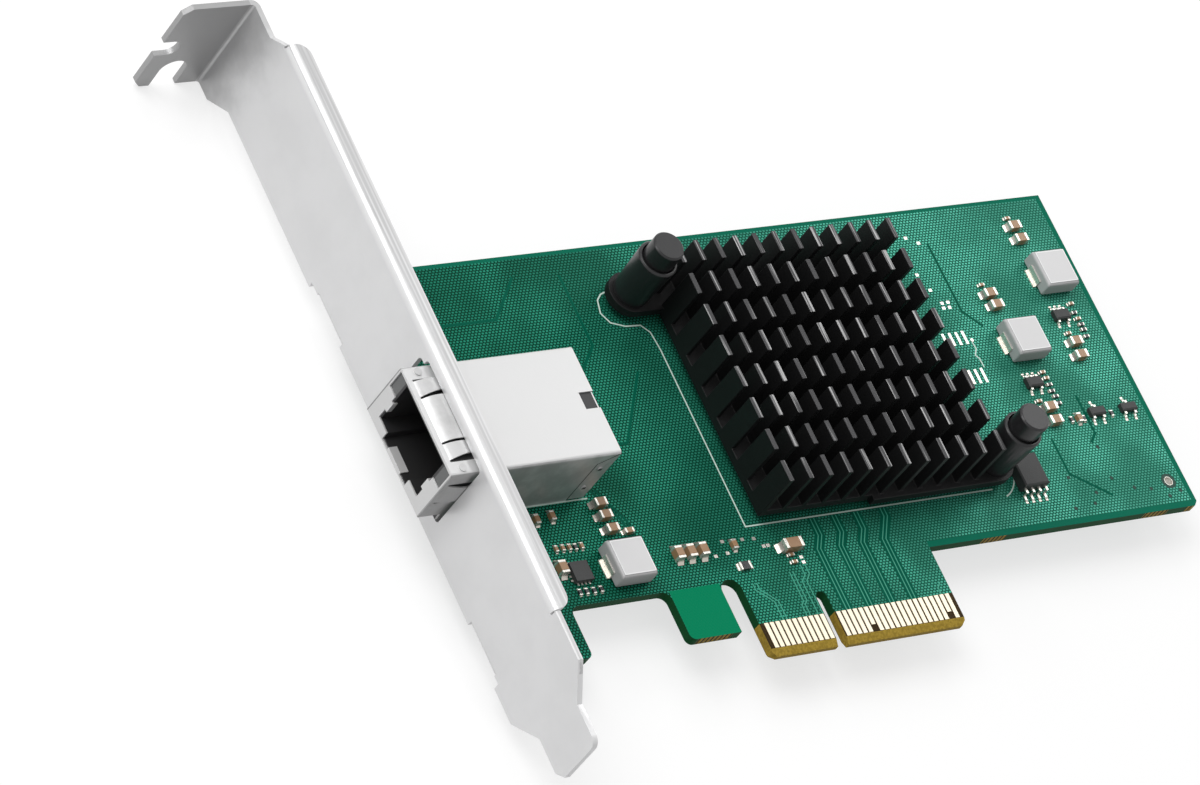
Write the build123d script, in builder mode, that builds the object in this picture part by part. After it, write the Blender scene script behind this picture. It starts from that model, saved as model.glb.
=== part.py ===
from build123d import *
import os
from math import copysign, hypot

os.makedirs("parts", exist_ok=True)

# A network interface card lying on its back, component side up. X runs along the card from the
# bracket to the free end, Y up from the edge connector, Z out of the component side. The origin is
# the middle of the connector's key notch, at the connector's bottom edge, half way through the board.

# Circuit board
board_t = 1.57
board_left = -55.5
board_right = 74.8
board_top = 68.0
edge_right_y = 12.8
edge_left_y = 12.3
far_leg_right = -42.1
far_leg_y = 4.2
leg_left = -24.9
leg_y = 4.45
leg_slot_w = 3.5
leg_slot_top = 12.7
tongue_left = -12.6
tongue_right = 22.6
key_w = 1.9
key_top = 8.7
corner_r = 1.0
inner_r = 1.4
corner_cut = 0.7
bevel_rise = 1.1
bevel_depth = 0.4
face = board_t / 2

# Gold contacts of a four-lane connector: eleven before the key, twenty-one after it
contact_t = 0.05
contact_w = 0.7
contact_pitch = 1.0
contact_low = 1.21
contact_high = 5.16
contact_key_gap = 1.5
contacts_before = 11
contacts_after = 21
short_by = 1.1
short_front = (17, 31)
short_back = (1,)

# Bracket, folded from one sheet
sheet = 0.86
bend_in = 0.4
bend_out = bend_in + sheet
fold_lap = bend_out + 0.4
bracket_x = -56.72
bracket_top = 106.81
bracket_bottom = -13.2
tab_end = -68.0
tab_low = -6.2
tab_high = 12.2
slope_top_y = 102.8
slope_low_y = 98.4
side_low_y = 69.0
tab_slot_x = -62.95
tab_slot_w = 4.42
tab_slot_end = -0.5
tip_slot_z = 2.9
tip_slot_w = 3.15
tip_slot_deep = 3.4
tab_corner = 1.2
flange_z = 15.27
flange_depth = 3.02
flange_low = 5.3
flange_high = 97.0
flange_round = 2.0
fold_gap = 0.35
ear_z = -2.65
ear_end = -45.3
ear_w = 8.4
ear_low = 5.3
ear_top = 67.0
ear_round = 3.0
collar_r = 2.4
side_edge = -3.1
lower_edge = -3.3
relief_deep = 0.5
relief_w = 1.3
taper_left_y = -1.6
tongue_left_y = -6.4
taper_right_y = -2.6
tongue_right_y = -7.1
shoulder_z = 14.5
shoulder_y = 100.3
tongue_low_z = 0.9
tongue_high_z = 11.1
tongue_cut = 1.4
tongue_round = 1.5
jack_gap_low = 0.45
jack_gap_high = 0.15
jack_hole_low = 0.4
jack_hole_r = 0.6
relief_run = 1.3
relief_low = 4.0
relief_high = 12.4

# Screws that hold the board to the bracket
screw_x = -50.0
screw_r = 1.5
screw_head_r = 2.8
screw_head_t = 1.6
screw_drive_r = 1.1
screw_drive_w = 0.5
screw_drive_deep = 0.9
screw_head_edge = 0.4
screw_clear = 0.12
thread_clear = 0.02
screw_len = 3.4

# Network jack
jack_sheet = 0.25
jack_front = -60.76
jack_rear = -31.85
jack_y = 37.15
jack_w = 17.5
jack_h = 11.835
jack_nose_low = 2.2
nose_end = -56.92
jack_round = 0.5
socket_low = 3.85
socket_roof = 0.65
socket_deep = 13.6
window_low = 8.7
frame_side = 0.45
window_w = 1.85
frame_roof = 0.42
latch_half = 3.8
latch_deep = 8.0
latch_floor = 0.25
tongue_half = 2.05
tongue_in = 1.4
side_tab_low = 5.7
side_tab_high = 7.7
side_tab_in = 3.2
insert_rear = -45.4
spring_front = -59.95
spring_rise = 0.83
spring_clear = 0.05
short_rise = 0.6
spring_run = 5.3
side_rise = 0.4
spring_short = 1.25
spring_gap = 0.3
roof_slot_side = 2.15
nub_front = -59.2
nub_run = 2.2
nub_drop = 0.9
nub_w = 2.4
nub_side = 1.75
dimple_x = -58.5
dimple_side = 1.05
dimple_r = 0.6
dimple_h = 0.2
side_spring_low = 5.8
side_spring_high = 9.9
roof_notch_w = 2.7
roof_notch_deep = 2.45
flap_x = -34.75
flap_bend_z = 10.2
flap_dimple_x = -33.6
flap_dimple_zs = (4.1, 8.9)
flap_dimple_scale = 0.7
seam = 0.08
post_r = 1.6
post_x = -50.4
post_gap = 11.43
post_deep = 3.0
post_clear = 0.06
post_tip = 0.5
pipe_w = 1.9
pipe_wall = 0.4
pipe_long = 13.6
wire_pitch = 1.02
wire_w = 0.36
wire_t = 0.3
wire_drop = 2.4
wire_front = 2.6
wire_back = 6.4
wire_gap = 0.1
wires = 8
pin_w = 0.5
pin_hole_r = 0.45
pin_rows = (-42.4, -39.86)
pin_pitch = 2.54
pins_per_row = 5
lamp_pin_x = -35.4
lamp_pin_side = 2.15
lamp_pin_pitch = 2.54
leg_below = 1.2
solder_r = 0.85
solder_sides = 10
solder_taper = 25
solder_h = 0.9
ground_x = -43.5
ground_w = 1.8
ground_hole_w = 2.3
ground_hole_t = 0.8
ground_rise = 0.6
ground_solder_r = 1.5
stand_off = 0.35

# Heatsink with its two spring-loaded push pins
sink_x = 14.7
sink_y = 41.0
sink_w = 40.0
sink_base = 1.4
fin_t = 0.8
fin_len = 3.4
fin_h = 8.0
fin_cols = 12
fin_rows = 8
ear_dx = 24.3
ear_dy = 17.4
ear_r = 3.4
sleeve_r = 3.1
sleeve_foot_r = 2.75
sleeve_bore = 2.25
sleeve_mouth_r = 2.6
sleeve_mouth_deep = 1.4
sleeve_h = 8.6
sleeve_clear = 0.08
sleeve_edge = 0.25
pin_head_r = 2.42
pin_head_h = 4.2
pin_head_edge = 0.25
pin_top = 11.8
pin_shaft_r = 1.4
pin_hole_clear = 0.2
barb_r = 2.05
barb_tip_r = 1.0
barb_h = 2.4
barb_slot = 0.7
spring_wire = 0.25
spring_r = 1.85
spring_turns = 3
tooling_x = 71.5
tooling_y = 17.4
tooling_r = 0.75
chip_w = 17.0
chip_h = 1.07
chip_edge = 0.2
pad_t = 0.15

# Power inductors: centres, then sizes
inductor_spots = [(-30.4, 17.1), (68.5, 53.9), (56.95, 43.3)]
inductor_w = 6.2
inductor_h = 2.9
inductor_edge = 0.35
terminal_w = 3.0
terminal_t = 0.2
terminal_rise = 1.5
terminal_foot = 1.5
terminal_toe = 0.6

# Leaded and leadless chips
memory_spot = (45.68, 21.8)
memory_size = (4.6, 5.2, 1.95)
memory_pitch = 1.27
memory_span = 8.1
regulator_spots = [(67.0, 46.95), (55.6, 36.4)]
regulator_size = (2.9, 1.6, 1.05)
transistor_spots = [(64.4, 30.2), (70.6, 30.2)]
transistor_size = (2.9, 1.3, 1.0)
small_pitch = 0.95
small_span = 2.8
lead_t = 0.18
lead_w = 0.4
body_lift = 0.12
switcher_spot = (-38.1, 17.1)
switcher_w = 3.0
switcher_h = 0.85

# Two-terminal parts: length, width, height, end cap; then x, y and turn of each
large_size = (3.2, 1.6, 1.6, 0.5)
large_spots = [(-1.5, 16.1, 0)]
wide_size = (2.2, 1.35, 1.2, 0.45)
wide_spots = [(66.55, 62.85, 0), (66.6, 60.55, 0), (55.6, 52.0, 0), (55.8, 49.95, 0),
              (66.95, 42.15, 0), (66.65, 39.8, 0), (56.05, 31.95, 0), (55.8, 29.65, 0)]
medium_size = (2.0, 1.25, 1.25, 0.4)
medium_spots = [(-29.9, 27.0, 0), (-30.0, 25.0, 0), (-29.9, 22.8, 0), (-40.9, 18.0, 90),
                (-20.9, 17.5, 90), (-18.8, 17.5, 90), (-16.6, 17.5, 90)]
small_size = (1.5, 0.8, 0.8, 0.3)
small_spots = [(-10.8, 17.7, 90), (-27.1, 22.2, 0), (-41.2, 26.0, 90), (-38.45, 26.2, 90),
               (60.55, 29.6, 90)]
tiny_size = (1.0, 0.5, 0.45, 0.22)
tiny_spots = [(66.4, 64.5, 0), (55.3, 53.8, 0), (66.8, 43.85, 0), (55.0, 33.35, 0),
              (-1.9, 13.7, 0), (-1.9, 14.9, 0), (-40.1, 21.2, 90), (-38.95, 21.2, 90), (-37.85, 21.15, 90),
              (-35.75, 21.1, 90), (58.3, 38.0, 0), (58.45, 36.95, 0), (70.1, 48.75, 0), (70.0, 46.1, 0)]
resistor_size = (2.0, 1.25, 0.5, 0.35)
resistor_spots = [(-10.5, 14.25, 0)]
chip_resistor_size = (1.0, 0.5, 0.35, 0.22)
chip_resistor_spots = [(-36.8, 21.1, 90), (-39.5, 14.15, 90), (-38.35, 14.15, 90), (-37.1, 14.1, 90),
                       (-35.85, 14.15, 90), (59.3, 29.6, 90), (61.65, 29.5, 90), (67.25, 29.7, 90),
                       (69.9, 47.2, 0), (70.15, 45.1, 0), (70.1, 44.2, 0), (69.95, 43.0, 0),
                       (58.5, 35.85, 0), (58.35, 34.75, 0), (58.55, 33.8, 0), (58.45, 32.6, 0)]

# Places worked out from the sizes above
jack_top = face + jack_h
jack_low_y = jack_y - jack_w / 2
jack_high_y = jack_y + jack_w / 2
bracket_in = bracket_x + sheet
jack_hole_high = jack_top + spring_rise + spring_clear
window_half = jack_w / 2 - frame_side
frame_half = window_half - window_w
pipe_half = jack_w / 2 - jack_sheet - pipe_w
socket_half = pipe_half - pipe_wall
tab_edge = socket_half - jack_sheet
latch_low = jack_nose_low + jack_sheet + latch_floor
roof_slot_half = jack_w / 2 - roof_slot_side
spring_at = roof_slot_half - spring_gap - spring_short
spring_long = spring_at - spring_short - spring_gap
nub_at = jack_w / 2 - nub_side
dimple_at = jack_w / 2 - dimple_side
lamp_pin_at = jack_w / 2 - lamp_pin_side
screw_ys = [ear_low + ear_w / 2, ear_top - ear_w / 2]
sink_low = face + chip_h + pad_t
push_pins_at = [(sink_x - ear_dx, sink_y + ear_dy), (sink_x + ear_dx, sink_y - ear_dy)]
push_hole_r = pin_shaft_r + pin_hole_clear
posts_at = [(post_x, jack_y - post_gap / 2), (post_x, jack_y + post_gap / 2)]
pins_at = [(x, jack_y + (i - (pins_per_row - 1) / 2) * pin_pitch + (row - 0.5) * pin_pitch / 2)
           for row, x in enumerate(pin_rows) for i in range(pins_per_row)]
pins_at += [(lamp_pin_x, jack_y + side * dy) for side in (-1, 1)
            for dy in (lamp_pin_at, lamp_pin_at - lamp_pin_pitch)]
grounds_at = [(ground_x, jack_low_y + jack_sheet / 2), (ground_x, jack_high_y - jack_sheet / 2)]


def near(items, spots):
    """The vertices or edges whose centres lie on the given spots of the first two axes given."""
    return ShapeList(item for item in items
                     if any(hypot(item.center().X - x, item.center().Y - y) < 0.02 for x, y in spots))


def finish(part, label):
    """Names a finished piece and writes it out."""
    part.label = label
    export_step(part, f"parts/{label}.step")


# Board: a flat outline with the connector tongue, its key notch and two plain legs, drilled for
# the push pins, the bracket screws, the jack's posts and pins, and one tooling hole
with BuildPart() as circuit_board:
    with BuildSketch(Plane.XY.offset(-face)):
        with BuildLine():
            Polyline((board_left, far_leg_y), (far_leg_right, far_leg_y), (far_leg_right, edge_left_y),
                     (leg_left, edge_left_y), (leg_left, leg_y), (tongue_left, leg_y), (tongue_left, 0),
                     (tongue_right, 0), (tongue_right, edge_right_y), (board_right, edge_right_y),
                     (board_right, board_top), (board_left, board_top), close=True)
        make_face()
        for x, width, top in ((0, key_w, key_top),
                              (tongue_left - leg_slot_w / 2, leg_slot_w, leg_slot_top)):
            with Locations((x, 0)):
                Rectangle(width, top - width / 2, align=(Align.CENTER, Align.MIN), mode=Mode.SUBTRACT)
            with Locations((x, top - width / 2)):
                Circle(width / 2, mode=Mode.SUBTRACT)
        fillet(near(vertices(), [(board_left, far_leg_y), (far_leg_right, far_leg_y), (leg_left, leg_y),
                                 (board_left, board_top)]), corner_r)
        fillet(near(vertices(), [(far_leg_right, edge_left_y), (leg_left, edge_left_y)]), inner_r)
        chamfer(near(vertices(), [(tongue_left, 0), (tongue_right, 0), (board_right, edge_right_y)]),
                corner_cut)
        with Locations(push_pins_at):
            Circle(push_hole_r, mode=Mode.SUBTRACT)
        with Locations([(screw_x, y) for y in screw_ys]):
            Circle(screw_r + screw_clear, mode=Mode.SUBTRACT)
        with Locations(posts_at):
            Circle(post_r + post_clear, mode=Mode.SUBTRACT)
        with Locations(pins_at):
            Circle(pin_hole_r, mode=Mode.SUBTRACT)
        with Locations(grounds_at):
            SlotOverall(ground_hole_w, ground_hole_t, mode=Mode.SUBTRACT)
        with Locations((tooling_x, tooling_y)):
            Circle(tooling_r, mode=Mode.SUBTRACT)
    extrude(amount=board_t)
    for side in (-1, 1):
        with BuildSketch(Plane.YZ.offset(tongue_left)):
            with BuildLine():
                Polyline((0, side * face), (bevel_rise, side * face), (0, side * (face - bevel_depth)),
                         close=True)
            make_face()
        extrude(amount=tongue_right - tongue_left, mode=Mode.SUBTRACT)
finish(circuit_board.part, "circuit_board")

# Gold contacts on both faces of the tongue; a few are shorter and meet last
contact_xs = [-contact_key_gap - (contacts_before - 1 - i) * contact_pitch for i in range(contacts_before)]
contact_xs += [contact_key_gap + i * contact_pitch for i in range(contacts_after)]
for label, height, short in (("edge_contacts_front", face, short_front),
                             ("edge_contacts_back", -face - contact_t, short_back)):
    with BuildPart() as contacts:
        with BuildSketch(Plane.XY.offset(height)):
            for number, x in enumerate(contact_xs, start=1):
                low = contact_low + (short_by if number in short else 0)
                with Locations((x, low)):
                    Rectangle(contact_w, contact_high - low, align=(Align.CENTER, Align.MIN))
        extrude(amount=contact_t)
    finish(contacts.part, label)

# Bracket: the flat body, then the tab, the long side flange and two ears folded out of the same sheet
body_outline = [
    (bracket_top - bend_out, tab_low), (slope_top_y, tab_low), (slope_low_y, side_edge),
    (side_low_y, side_edge),
    (side_low_y, ear_z + relief_deep), (ear_top, ear_z + relief_deep), (ear_top, ear_z + bend_out),
    (ear_top - ear_w, ear_z + bend_out), (ear_top - ear_w, ear_z), (ear_low + ear_w, ear_z),
    (ear_low + ear_w, ear_z + bend_out), (ear_low, ear_z + bend_out), (ear_low, ear_z + relief_deep),
    (ear_low - relief_w, ear_z + relief_deep), (ear_low - relief_w, lower_edge), (taper_left_y, lower_edge),
    (tongue_left_y, tongue_low_z), (bracket_bottom + tongue_cut, tongue_low_z),
    (bracket_bottom, tongue_low_z + tongue_cut), (bracket_bottom, tongue_high_z),
    (tongue_right_y, tongue_high_z), (taper_right_y, flange_z), (flange_low - fold_gap, flange_z),
    (flange_low - fold_gap, flange_z - bend_out), (flange_high + fold_gap, flange_z - bend_out),
    (flange_high + fold_gap, shoulder_z), (shoulder_y, tab_high), (bracket_top - bend_out, tab_high),
]


def folded_section(corner, run, lap):
    """Section of a square fold: its outer corner, then how far the two legs reach from there."""
    x, y = corner
    dx, dy = copysign(sheet, run), copysign(sheet, lap)
    with BuildLine() as section:
        Polyline((x, y + lap), (x, y), (x + run, y), (x + run, y + dy), (x + dx, y + dy), (x + dx, y + lap),
                 close=True)
    make_face(section.edges())
    fillet(near(vertices(), [(x, y)]), bend_out)
    fillet(near(vertices(), [(x + dx, y + dy)]), bend_in)


with BuildPart() as bracket:
    with BuildSketch(Plane.YZ.offset(bracket_x)):
        with BuildLine():
            Polyline(*body_outline, close=True)
        make_face()
        fillet(near(vertices(), [(bracket_bottom, tongue_high_z)]), tongue_round)
        hole_w = jack_w + jack_gap_low + jack_gap_high
        hole_y = jack_y + (jack_gap_high - jack_gap_low) / 2
        with Locations((hole_y, (jack_hole_low + jack_hole_high) / 2)):
            RectangleRounded(hole_w, jack_hole_high - jack_hole_low, jack_hole_r, mode=Mode.SUBTRACT)
        with Locations((hole_y + hole_w / 2, (relief_low + relief_high) / 2)):
            RectangleRounded(2 * relief_run, relief_high - relief_low, jack_hole_r, mode=Mode.SUBTRACT)
    extrude(amount=sheet)
    # top tab, folded away from the card, with the slot for the chassis screw and a slot in its tip
    with BuildSketch(Plane.XY.offset(tab_low)):
        folded_section((bracket_in, bracket_top), tab_end - bracket_in, -fold_lap)
    extrude(amount=tab_high - tab_low)
    with BuildSketch(Plane.XZ.offset(-bracket_top)):
        with Locations((tab_slot_x, tab_slot_end - tab_slot_w / 2)):
            Circle(tab_slot_w / 2)
            Rectangle(tab_slot_w, tab_slot_end - tab_low, align=(Align.CENTER, Align.MAX))
        with Locations((tab_end + tip_slot_deep - tip_slot_w / 2, tip_slot_z)):
            Circle(tip_slot_w / 2)
            Rectangle(tip_slot_deep, tip_slot_w, align=(Align.MAX, Align.CENTER))
    extrude(amount=sheet, mode=Mode.SUBTRACT)
    tip_edges = near(edges().filter_by(Axis.Y), [(tab_end, bracket_top - sheet / 2)])
    chamfer([tip_edges.sort_by(Axis.Z)[0], tip_edges.sort_by(Axis.Z)[-1]], tab_corner)
    # flange folded back over the card's component side, and two ears folded back under the board
    with BuildSketch(Plane.XZ.offset(-flange_low)):
        folded_section((bracket_x, flange_z), flange_depth, -fold_lap)
    extrude(amount=flange_low - flange_high)
    fillet(near(edges().filter_by(Axis.Z), [(bracket_x + flange_depth, flange_low),
                                            (bracket_x + flange_depth, flange_high)]), flange_round)
    for low in (ear_low, ear_top - ear_w):
        with BuildSketch(Plane.XZ.offset(-low)):
            folded_section((bracket_x, ear_z), ear_end - bracket_x, fold_lap)
        extrude(amount=-ear_w)
        fillet(near(edges().filter_by(Axis.Z), [(ear_end, low), (ear_end, low + ear_w)]), ear_round)
    # drawn collars that stand the board off the ears and take the screws' threads
    with BuildSketch(Plane.XY.offset(-face)):
        with Locations([(screw_x, y) for y in screw_ys]):
            Circle(collar_r)
    extrude(amount=ear_z + sheet + face)
    with BuildSketch(Plane.XY.offset(-face)):
        with Locations([(screw_x, y) for y in screw_ys]):
            Circle(screw_r)
    extrude(amount=ear_z + face, mode=Mode.SUBTRACT)
finish(bracket.part, "bracket")

# Two pan-head screws through the board into the bracket's collars
with BuildPart() as bracket_screws:
    with BuildSketch(Plane.XY.offset(face)):
        with Locations([(screw_x, y) for y in screw_ys]):
            Circle(screw_head_r)
    extrude(amount=screw_head_t)
    chamfer(edges().filter_by(GeomType.CIRCLE).group_by(Axis.Z)[-1], screw_head_edge)
    with BuildSketch(Plane.XY.offset(face)):
        with Locations([(screw_x, y) for y in screw_ys]):
            Circle(screw_r - thread_clear)
    extrude(amount=-screw_len)
    with BuildSketch(Plane.XY.offset(face + screw_head_t)):
        with Locations([(screw_x, y) for y in screw_ys]):
            Rectangle(2 * screw_drive_r, screw_drive_w)
            Rectangle(screw_drive_w, 2 * screw_drive_r)
    extrude(amount=-screw_drive_deep, mode=Mode.SUBTRACT)
finish(bracket_screws.part, "bracket_screws")


def bowed_section(start, span, level, rise):
    """Section of a sheet spring that bows out of a flat wall between two fixed ends."""
    inner = level - copysign(jack_sheet, rise)
    with BuildLine() as section:
        ThreePointArc((start, level), (start + span / 2, level + rise), (start + span, level))
        Line((start + span, level), (start + span, inner))
        ThreePointArc((start + span, inner), (start + span / 2, inner + rise), (start, inner))
        Line((start, inner), (start, level))
    make_face(section.edges())


# Jack shield: roof and sides wrapped from thin sheet, a front frame, and bowed springs that press
# on the rim of the bracket's opening
with BuildPart() as jack_shield:
    with BuildSketch(Plane.YZ.offset(jack_front)):
        with Locations((jack_y, face)):
            Rectangle(jack_w, jack_h, align=(Align.CENTER, Align.MIN))
        fillet(near(vertices(), [(jack_low_y, jack_top), (jack_high_y, jack_top)]), jack_round)
        with Locations((jack_y, face)):
            Rectangle(jack_w - 2 * jack_sheet, jack_h - jack_sheet, align=(Align.CENTER, Align.MIN),
                      mode=Mode.SUBTRACT)
    extrude(amount=jack_rear - jack_front)
    # the nose hangs higher than the rest, closed below by its own strip
    with BuildSketch(Plane.YZ.offset(jack_front)):
        with Locations((jack_y, face)):
            Rectangle(jack_w, jack_nose_low - face, align=(Align.CENTER, Align.MIN))
    extrude(amount=nose_end - jack_front, mode=Mode.SUBTRACT)
    with BuildSketch(Plane.YZ.offset(jack_front)):
        with Locations((jack_y, jack_nose_low)):
            Rectangle(jack_w, jack_sheet, align=(Align.CENTER, Align.MIN))
    extrude(amount=nose_end - jack_front)
    # front frame with the plug opening, the latch notch and the two lamp windows
    with BuildSketch(Plane.YZ.offset(jack_front)):
        with Locations((jack_y, jack_nose_low)):
            Rectangle(jack_w, jack_top - jack_nose_low, align=(Align.CENTER, Align.MIN))
        fillet(near(vertices(), [(jack_low_y, jack_top), (jack_high_y, jack_top)]), jack_round)
        with Locations((jack_y, jack_top - frame_roof)):
            Rectangle(2 * window_half, jack_top - frame_roof - window_low, align=(Align.CENTER, Align.MAX),
                      mode=Mode.SUBTRACT)
            Rectangle(2 * frame_half, jack_top - frame_roof - socket_low, align=(Align.CENTER, Align.MAX),
                      mode=Mode.SUBTRACT)
        with Locations((jack_y, jack_nose_low)):
            Rectangle(2 * latch_half, socket_low - jack_nose_low, align=(Align.CENTER, Align.MIN),
                      mode=Mode.SUBTRACT)
        # the feet of a tongue and of two tabs that fold in from the frame
        with Locations((jack_y, jack_nose_low)):
            Rectangle(2 * tongue_half, latch_low + jack_sheet - jack_nose_low,
                      align=(Align.CENTER, Align.MIN))
        with Locations([(jack_y + side * (frame_half + tab_edge) / 2, side_tab_low) for side in (-1, 1)]):
            Rectangle(frame_half - tab_edge, side_tab_high - side_tab_low, align=(Align.CENTER, Align.MIN))
    extrude(amount=jack_sheet)
    # the tongue lies on the latch channel's floor, and a tab lies along each wall of the socket
    with BuildSketch(Plane.YZ.offset(jack_front)):
        with Locations((jack_y, latch_low)):
            Rectangle(2 * tongue_half, jack_sheet, align=(Align.CENTER, Align.MIN))
    extrude(amount=tongue_in)
    with BuildSketch(Plane.YZ.offset(jack_front)):
        with Locations([(jack_y + side * (tab_edge + jack_sheet / 2), side_tab_low) for side in (-1, 1)]):
            Rectangle(jack_sheet, side_tab_high - side_tab_low, align=(Align.CENTER, Align.MIN))
    extrude(amount=side_tab_in)
    # slots for the springs in the roof and the sides, then the springs themselves
    with BuildSketch(Plane.XY.offset(jack_top)):
        with Locations((spring_front, jack_y)):
            Rectangle(spring_run, 2 * roof_slot_half, align=(Align.MIN, Align.CENTER))
    extrude(amount=-jack_sheet, mode=Mode.SUBTRACT)
    with BuildSketch(Plane.XZ.offset(-jack_high_y)):
        with Locations((spring_front, side_spring_low - spring_gap)):
            Rectangle(spring_run, side_spring_high - side_spring_low + 2 * spring_gap,
                      align=(Align.MIN, Align.MIN))
    extrude(amount=jack_w, mode=Mode.SUBTRACT)
    for middle, half, rise in ((0, spring_long, spring_rise), (-spring_at, spring_short, short_rise),
                               (spring_at, spring_short, short_rise)):
        with BuildSketch(Plane.XZ.offset(-(jack_y + middle + half))):
            bowed_section(spring_front, spring_run, jack_top, rise)
        extrude(amount=2 * half)
    for level, rise in ((jack_low_y, -side_rise), (jack_high_y, side_rise)):
        with BuildSketch(Plane.XY.offset(side_spring_low)):
            bowed_section(spring_front, spring_run, level, rise)
        extrude(amount=side_spring_high - side_spring_low)
    for side in (-1, 1):
        with BuildSketch(Plane.XZ.offset(-(jack_y + side * nub_at + nub_w / 2))):
            bowed_section(nub_front, nub_run, jack_nose_low, -nub_drop)
        extrude(amount=nub_w)
    with Locations([(dimple_x, jack_y + side * dimple_at, jack_top) for side in (-1, 1)]):
        Cylinder(dimple_r, dimple_h, align=(Align.CENTER, Align.CENTER, Align.MIN))
    # notch in the roof's rear edge, room for the rear cover's flaps, and two legs into the board
    with BuildSketch(Plane.XY.offset(jack_top)):
        with Locations((jack_rear, jack_y)):
            Rectangle(roof_notch_deep, roof_notch_w, align=(Align.MAX, Align.CENTER))
    extrude(amount=-jack_sheet, mode=Mode.SUBTRACT)
    with BuildSketch(Plane.XZ.offset(-jack_high_y)):
        with BuildLine():
            Polyline((flap_x, face), (flap_x, flap_bend_z), (jack_rear - jack_sheet, jack_top - jack_sheet),
                     (jack_rear, jack_top - jack_sheet), (jack_rear, face), close=True)
        make_face()
    extrude(amount=jack_w, mode=Mode.SUBTRACT)
    with BuildSketch(Plane.XY.offset(face + ground_rise)):
        with Locations(grounds_at):
            Rectangle(ground_w, jack_sheet)
    extrude(amount=-(ground_rise + board_t + leg_below))
finish(jack_shield.part, "jack_shield")

# Rear cover of the jack: a plate under the roof with a flap folded along each side
with BuildPart() as jack_rear_cover:
    with BuildSketch(Plane.YZ.offset(jack_rear - jack_sheet)):
        with Locations((jack_y, jack_top - jack_sheet)):
            Rectangle(jack_w, jack_h - jack_sheet - stand_off, align=(Align.CENTER, Align.MAX))
    extrude(amount=jack_sheet)
    for level in (jack_low_y + jack_sheet, jack_high_y):
        with BuildSketch(Plane.XZ.offset(-level)):
            with BuildLine():
                Polyline((flap_x + seam, face + stand_off), (flap_x + seam, flap_bend_z),
                         (jack_rear - jack_sheet, jack_top - jack_sheet - seam),
                         (jack_rear, jack_top - jack_sheet), (jack_rear, face + stand_off), close=True)
            make_face()
        extrude(amount=jack_sheet)
    for y, turn in ((jack_low_y, 90), (jack_high_y, -90)):
        with Locations([Location((flap_dimple_x, y, z), (turn, 0, 0)) for z in flap_dimple_zs]):
            Cylinder(dimple_r * flap_dimple_scale, dimple_h, align=(Align.CENTER, Align.CENTER, Align.MIN))
finish(jack_rear_cover.part, "jack_rear_cover")

# Jack housing: moulded insert with the plug socket, the latch channel, a comb for the wires, a
# channel for each light pipe and two pegs that locate it in the board
housing_top = jack_top - jack_sheet
housing_w = jack_w - 2 * jack_sheet
socket_top = housing_top - socket_roof
wire_top = socket_top - wire_gap
pipes_at = [(jack_y + side * (pipe_half + housing_w / 2) / 2, housing_top) for side in (-1, 1)]
with BuildPart() as jack_housing:
    with BuildSketch(Plane.XZ.offset(-(jack_y + housing_w / 2))):
        with BuildLine():
            Polyline((jack_front + jack_sheet, jack_nose_low + jack_sheet),
                     (nose_end, jack_nose_low + jack_sheet), (nose_end, face), (insert_rear, face),
                     (insert_rear, housing_top), (jack_front + jack_sheet, housing_top), close=True)
        make_face()
    extrude(amount=housing_w)
    with BuildSketch(Plane.YZ.offset(jack_front + jack_sheet)):
        with Locations((jack_y, socket_low)):
            Rectangle(2 * socket_half, socket_top - socket_low, align=(Align.CENTER, Align.MIN))
    extrude(amount=socket_deep, mode=Mode.SUBTRACT)
    with BuildSketch(Plane.YZ.offset(jack_front + jack_sheet)):
        with Locations((jack_y, latch_low)):
            Rectangle(2 * latch_half, socket_low - jack_nose_low, align=(Align.CENTER, Align.MIN))
    extrude(amount=latch_deep, mode=Mode.SUBTRACT)
    with BuildSketch(Plane.YZ.offset(jack_front + jack_sheet)):
        with Locations(pipes_at):
            Rectangle(housing_w / 2 - pipe_half, housing_top - window_low, align=(Align.CENTER, Align.MAX))
    extrude(amount=pipe_long, mode=Mode.SUBTRACT)
    with BuildSketch(Plane.YZ.offset(insert_rear)):
        with Locations((jack_y, wire_top)):
            Rectangle(wires * wire_pitch, wire_t, align=(Align.CENTER, Align.MAX))
    extrude(amount=-(insert_rear - jack_front - jack_sheet - socket_deep), mode=Mode.SUBTRACT)
    with BuildSketch(Plane.XY.offset(face)):
        with Locations(posts_at):
            Circle(post_r)
    extrude(amount=-post_deep)
    chamfer(edges().filter_by(GeomType.CIRCLE).group_by(Axis.Z)[0], post_tip)
finish(jack_housing.part, "jack_housing")

# Eight contact wires, each doubled back under the socket's roof, and the two light pipes
wire_x = jack_front + jack_sheet + wire_front
with BuildPart() as jack_contacts:
    for i in range(wires):
        y = jack_y + (i - (wires - 1) / 2) * wire_pitch
        with BuildSketch(Plane.XZ.offset(-(y + wire_w / 2))):
            with BuildLine():
                Polyline((insert_rear, wire_top), (wire_x, wire_top),
                         (wire_x - wire_t / 2, wire_top - wire_t),
                         (wire_x + wire_back, wire_top - wire_drop),
                         (wire_x + wire_back + wire_t / 2, wire_top - wire_drop + wire_t),
                         (wire_x + wire_t, wire_top - wire_t), (insert_rear, wire_top - wire_t), close=True)
            make_face()
        extrude(amount=wire_w)
finish(jack_contacts.part, "jack_contacts")

with BuildPart() as jack_light_pipes:
    with BuildSketch(Plane.YZ.offset(jack_front + jack_sheet)):
        with Locations(pipes_at):
            Rectangle(housing_w / 2 - pipe_half, housing_top - window_low, align=(Align.CENTER, Align.MAX))
    extrude(amount=pipe_long)
finish(jack_light_pipes.part, "jack_light_pipes")

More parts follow.
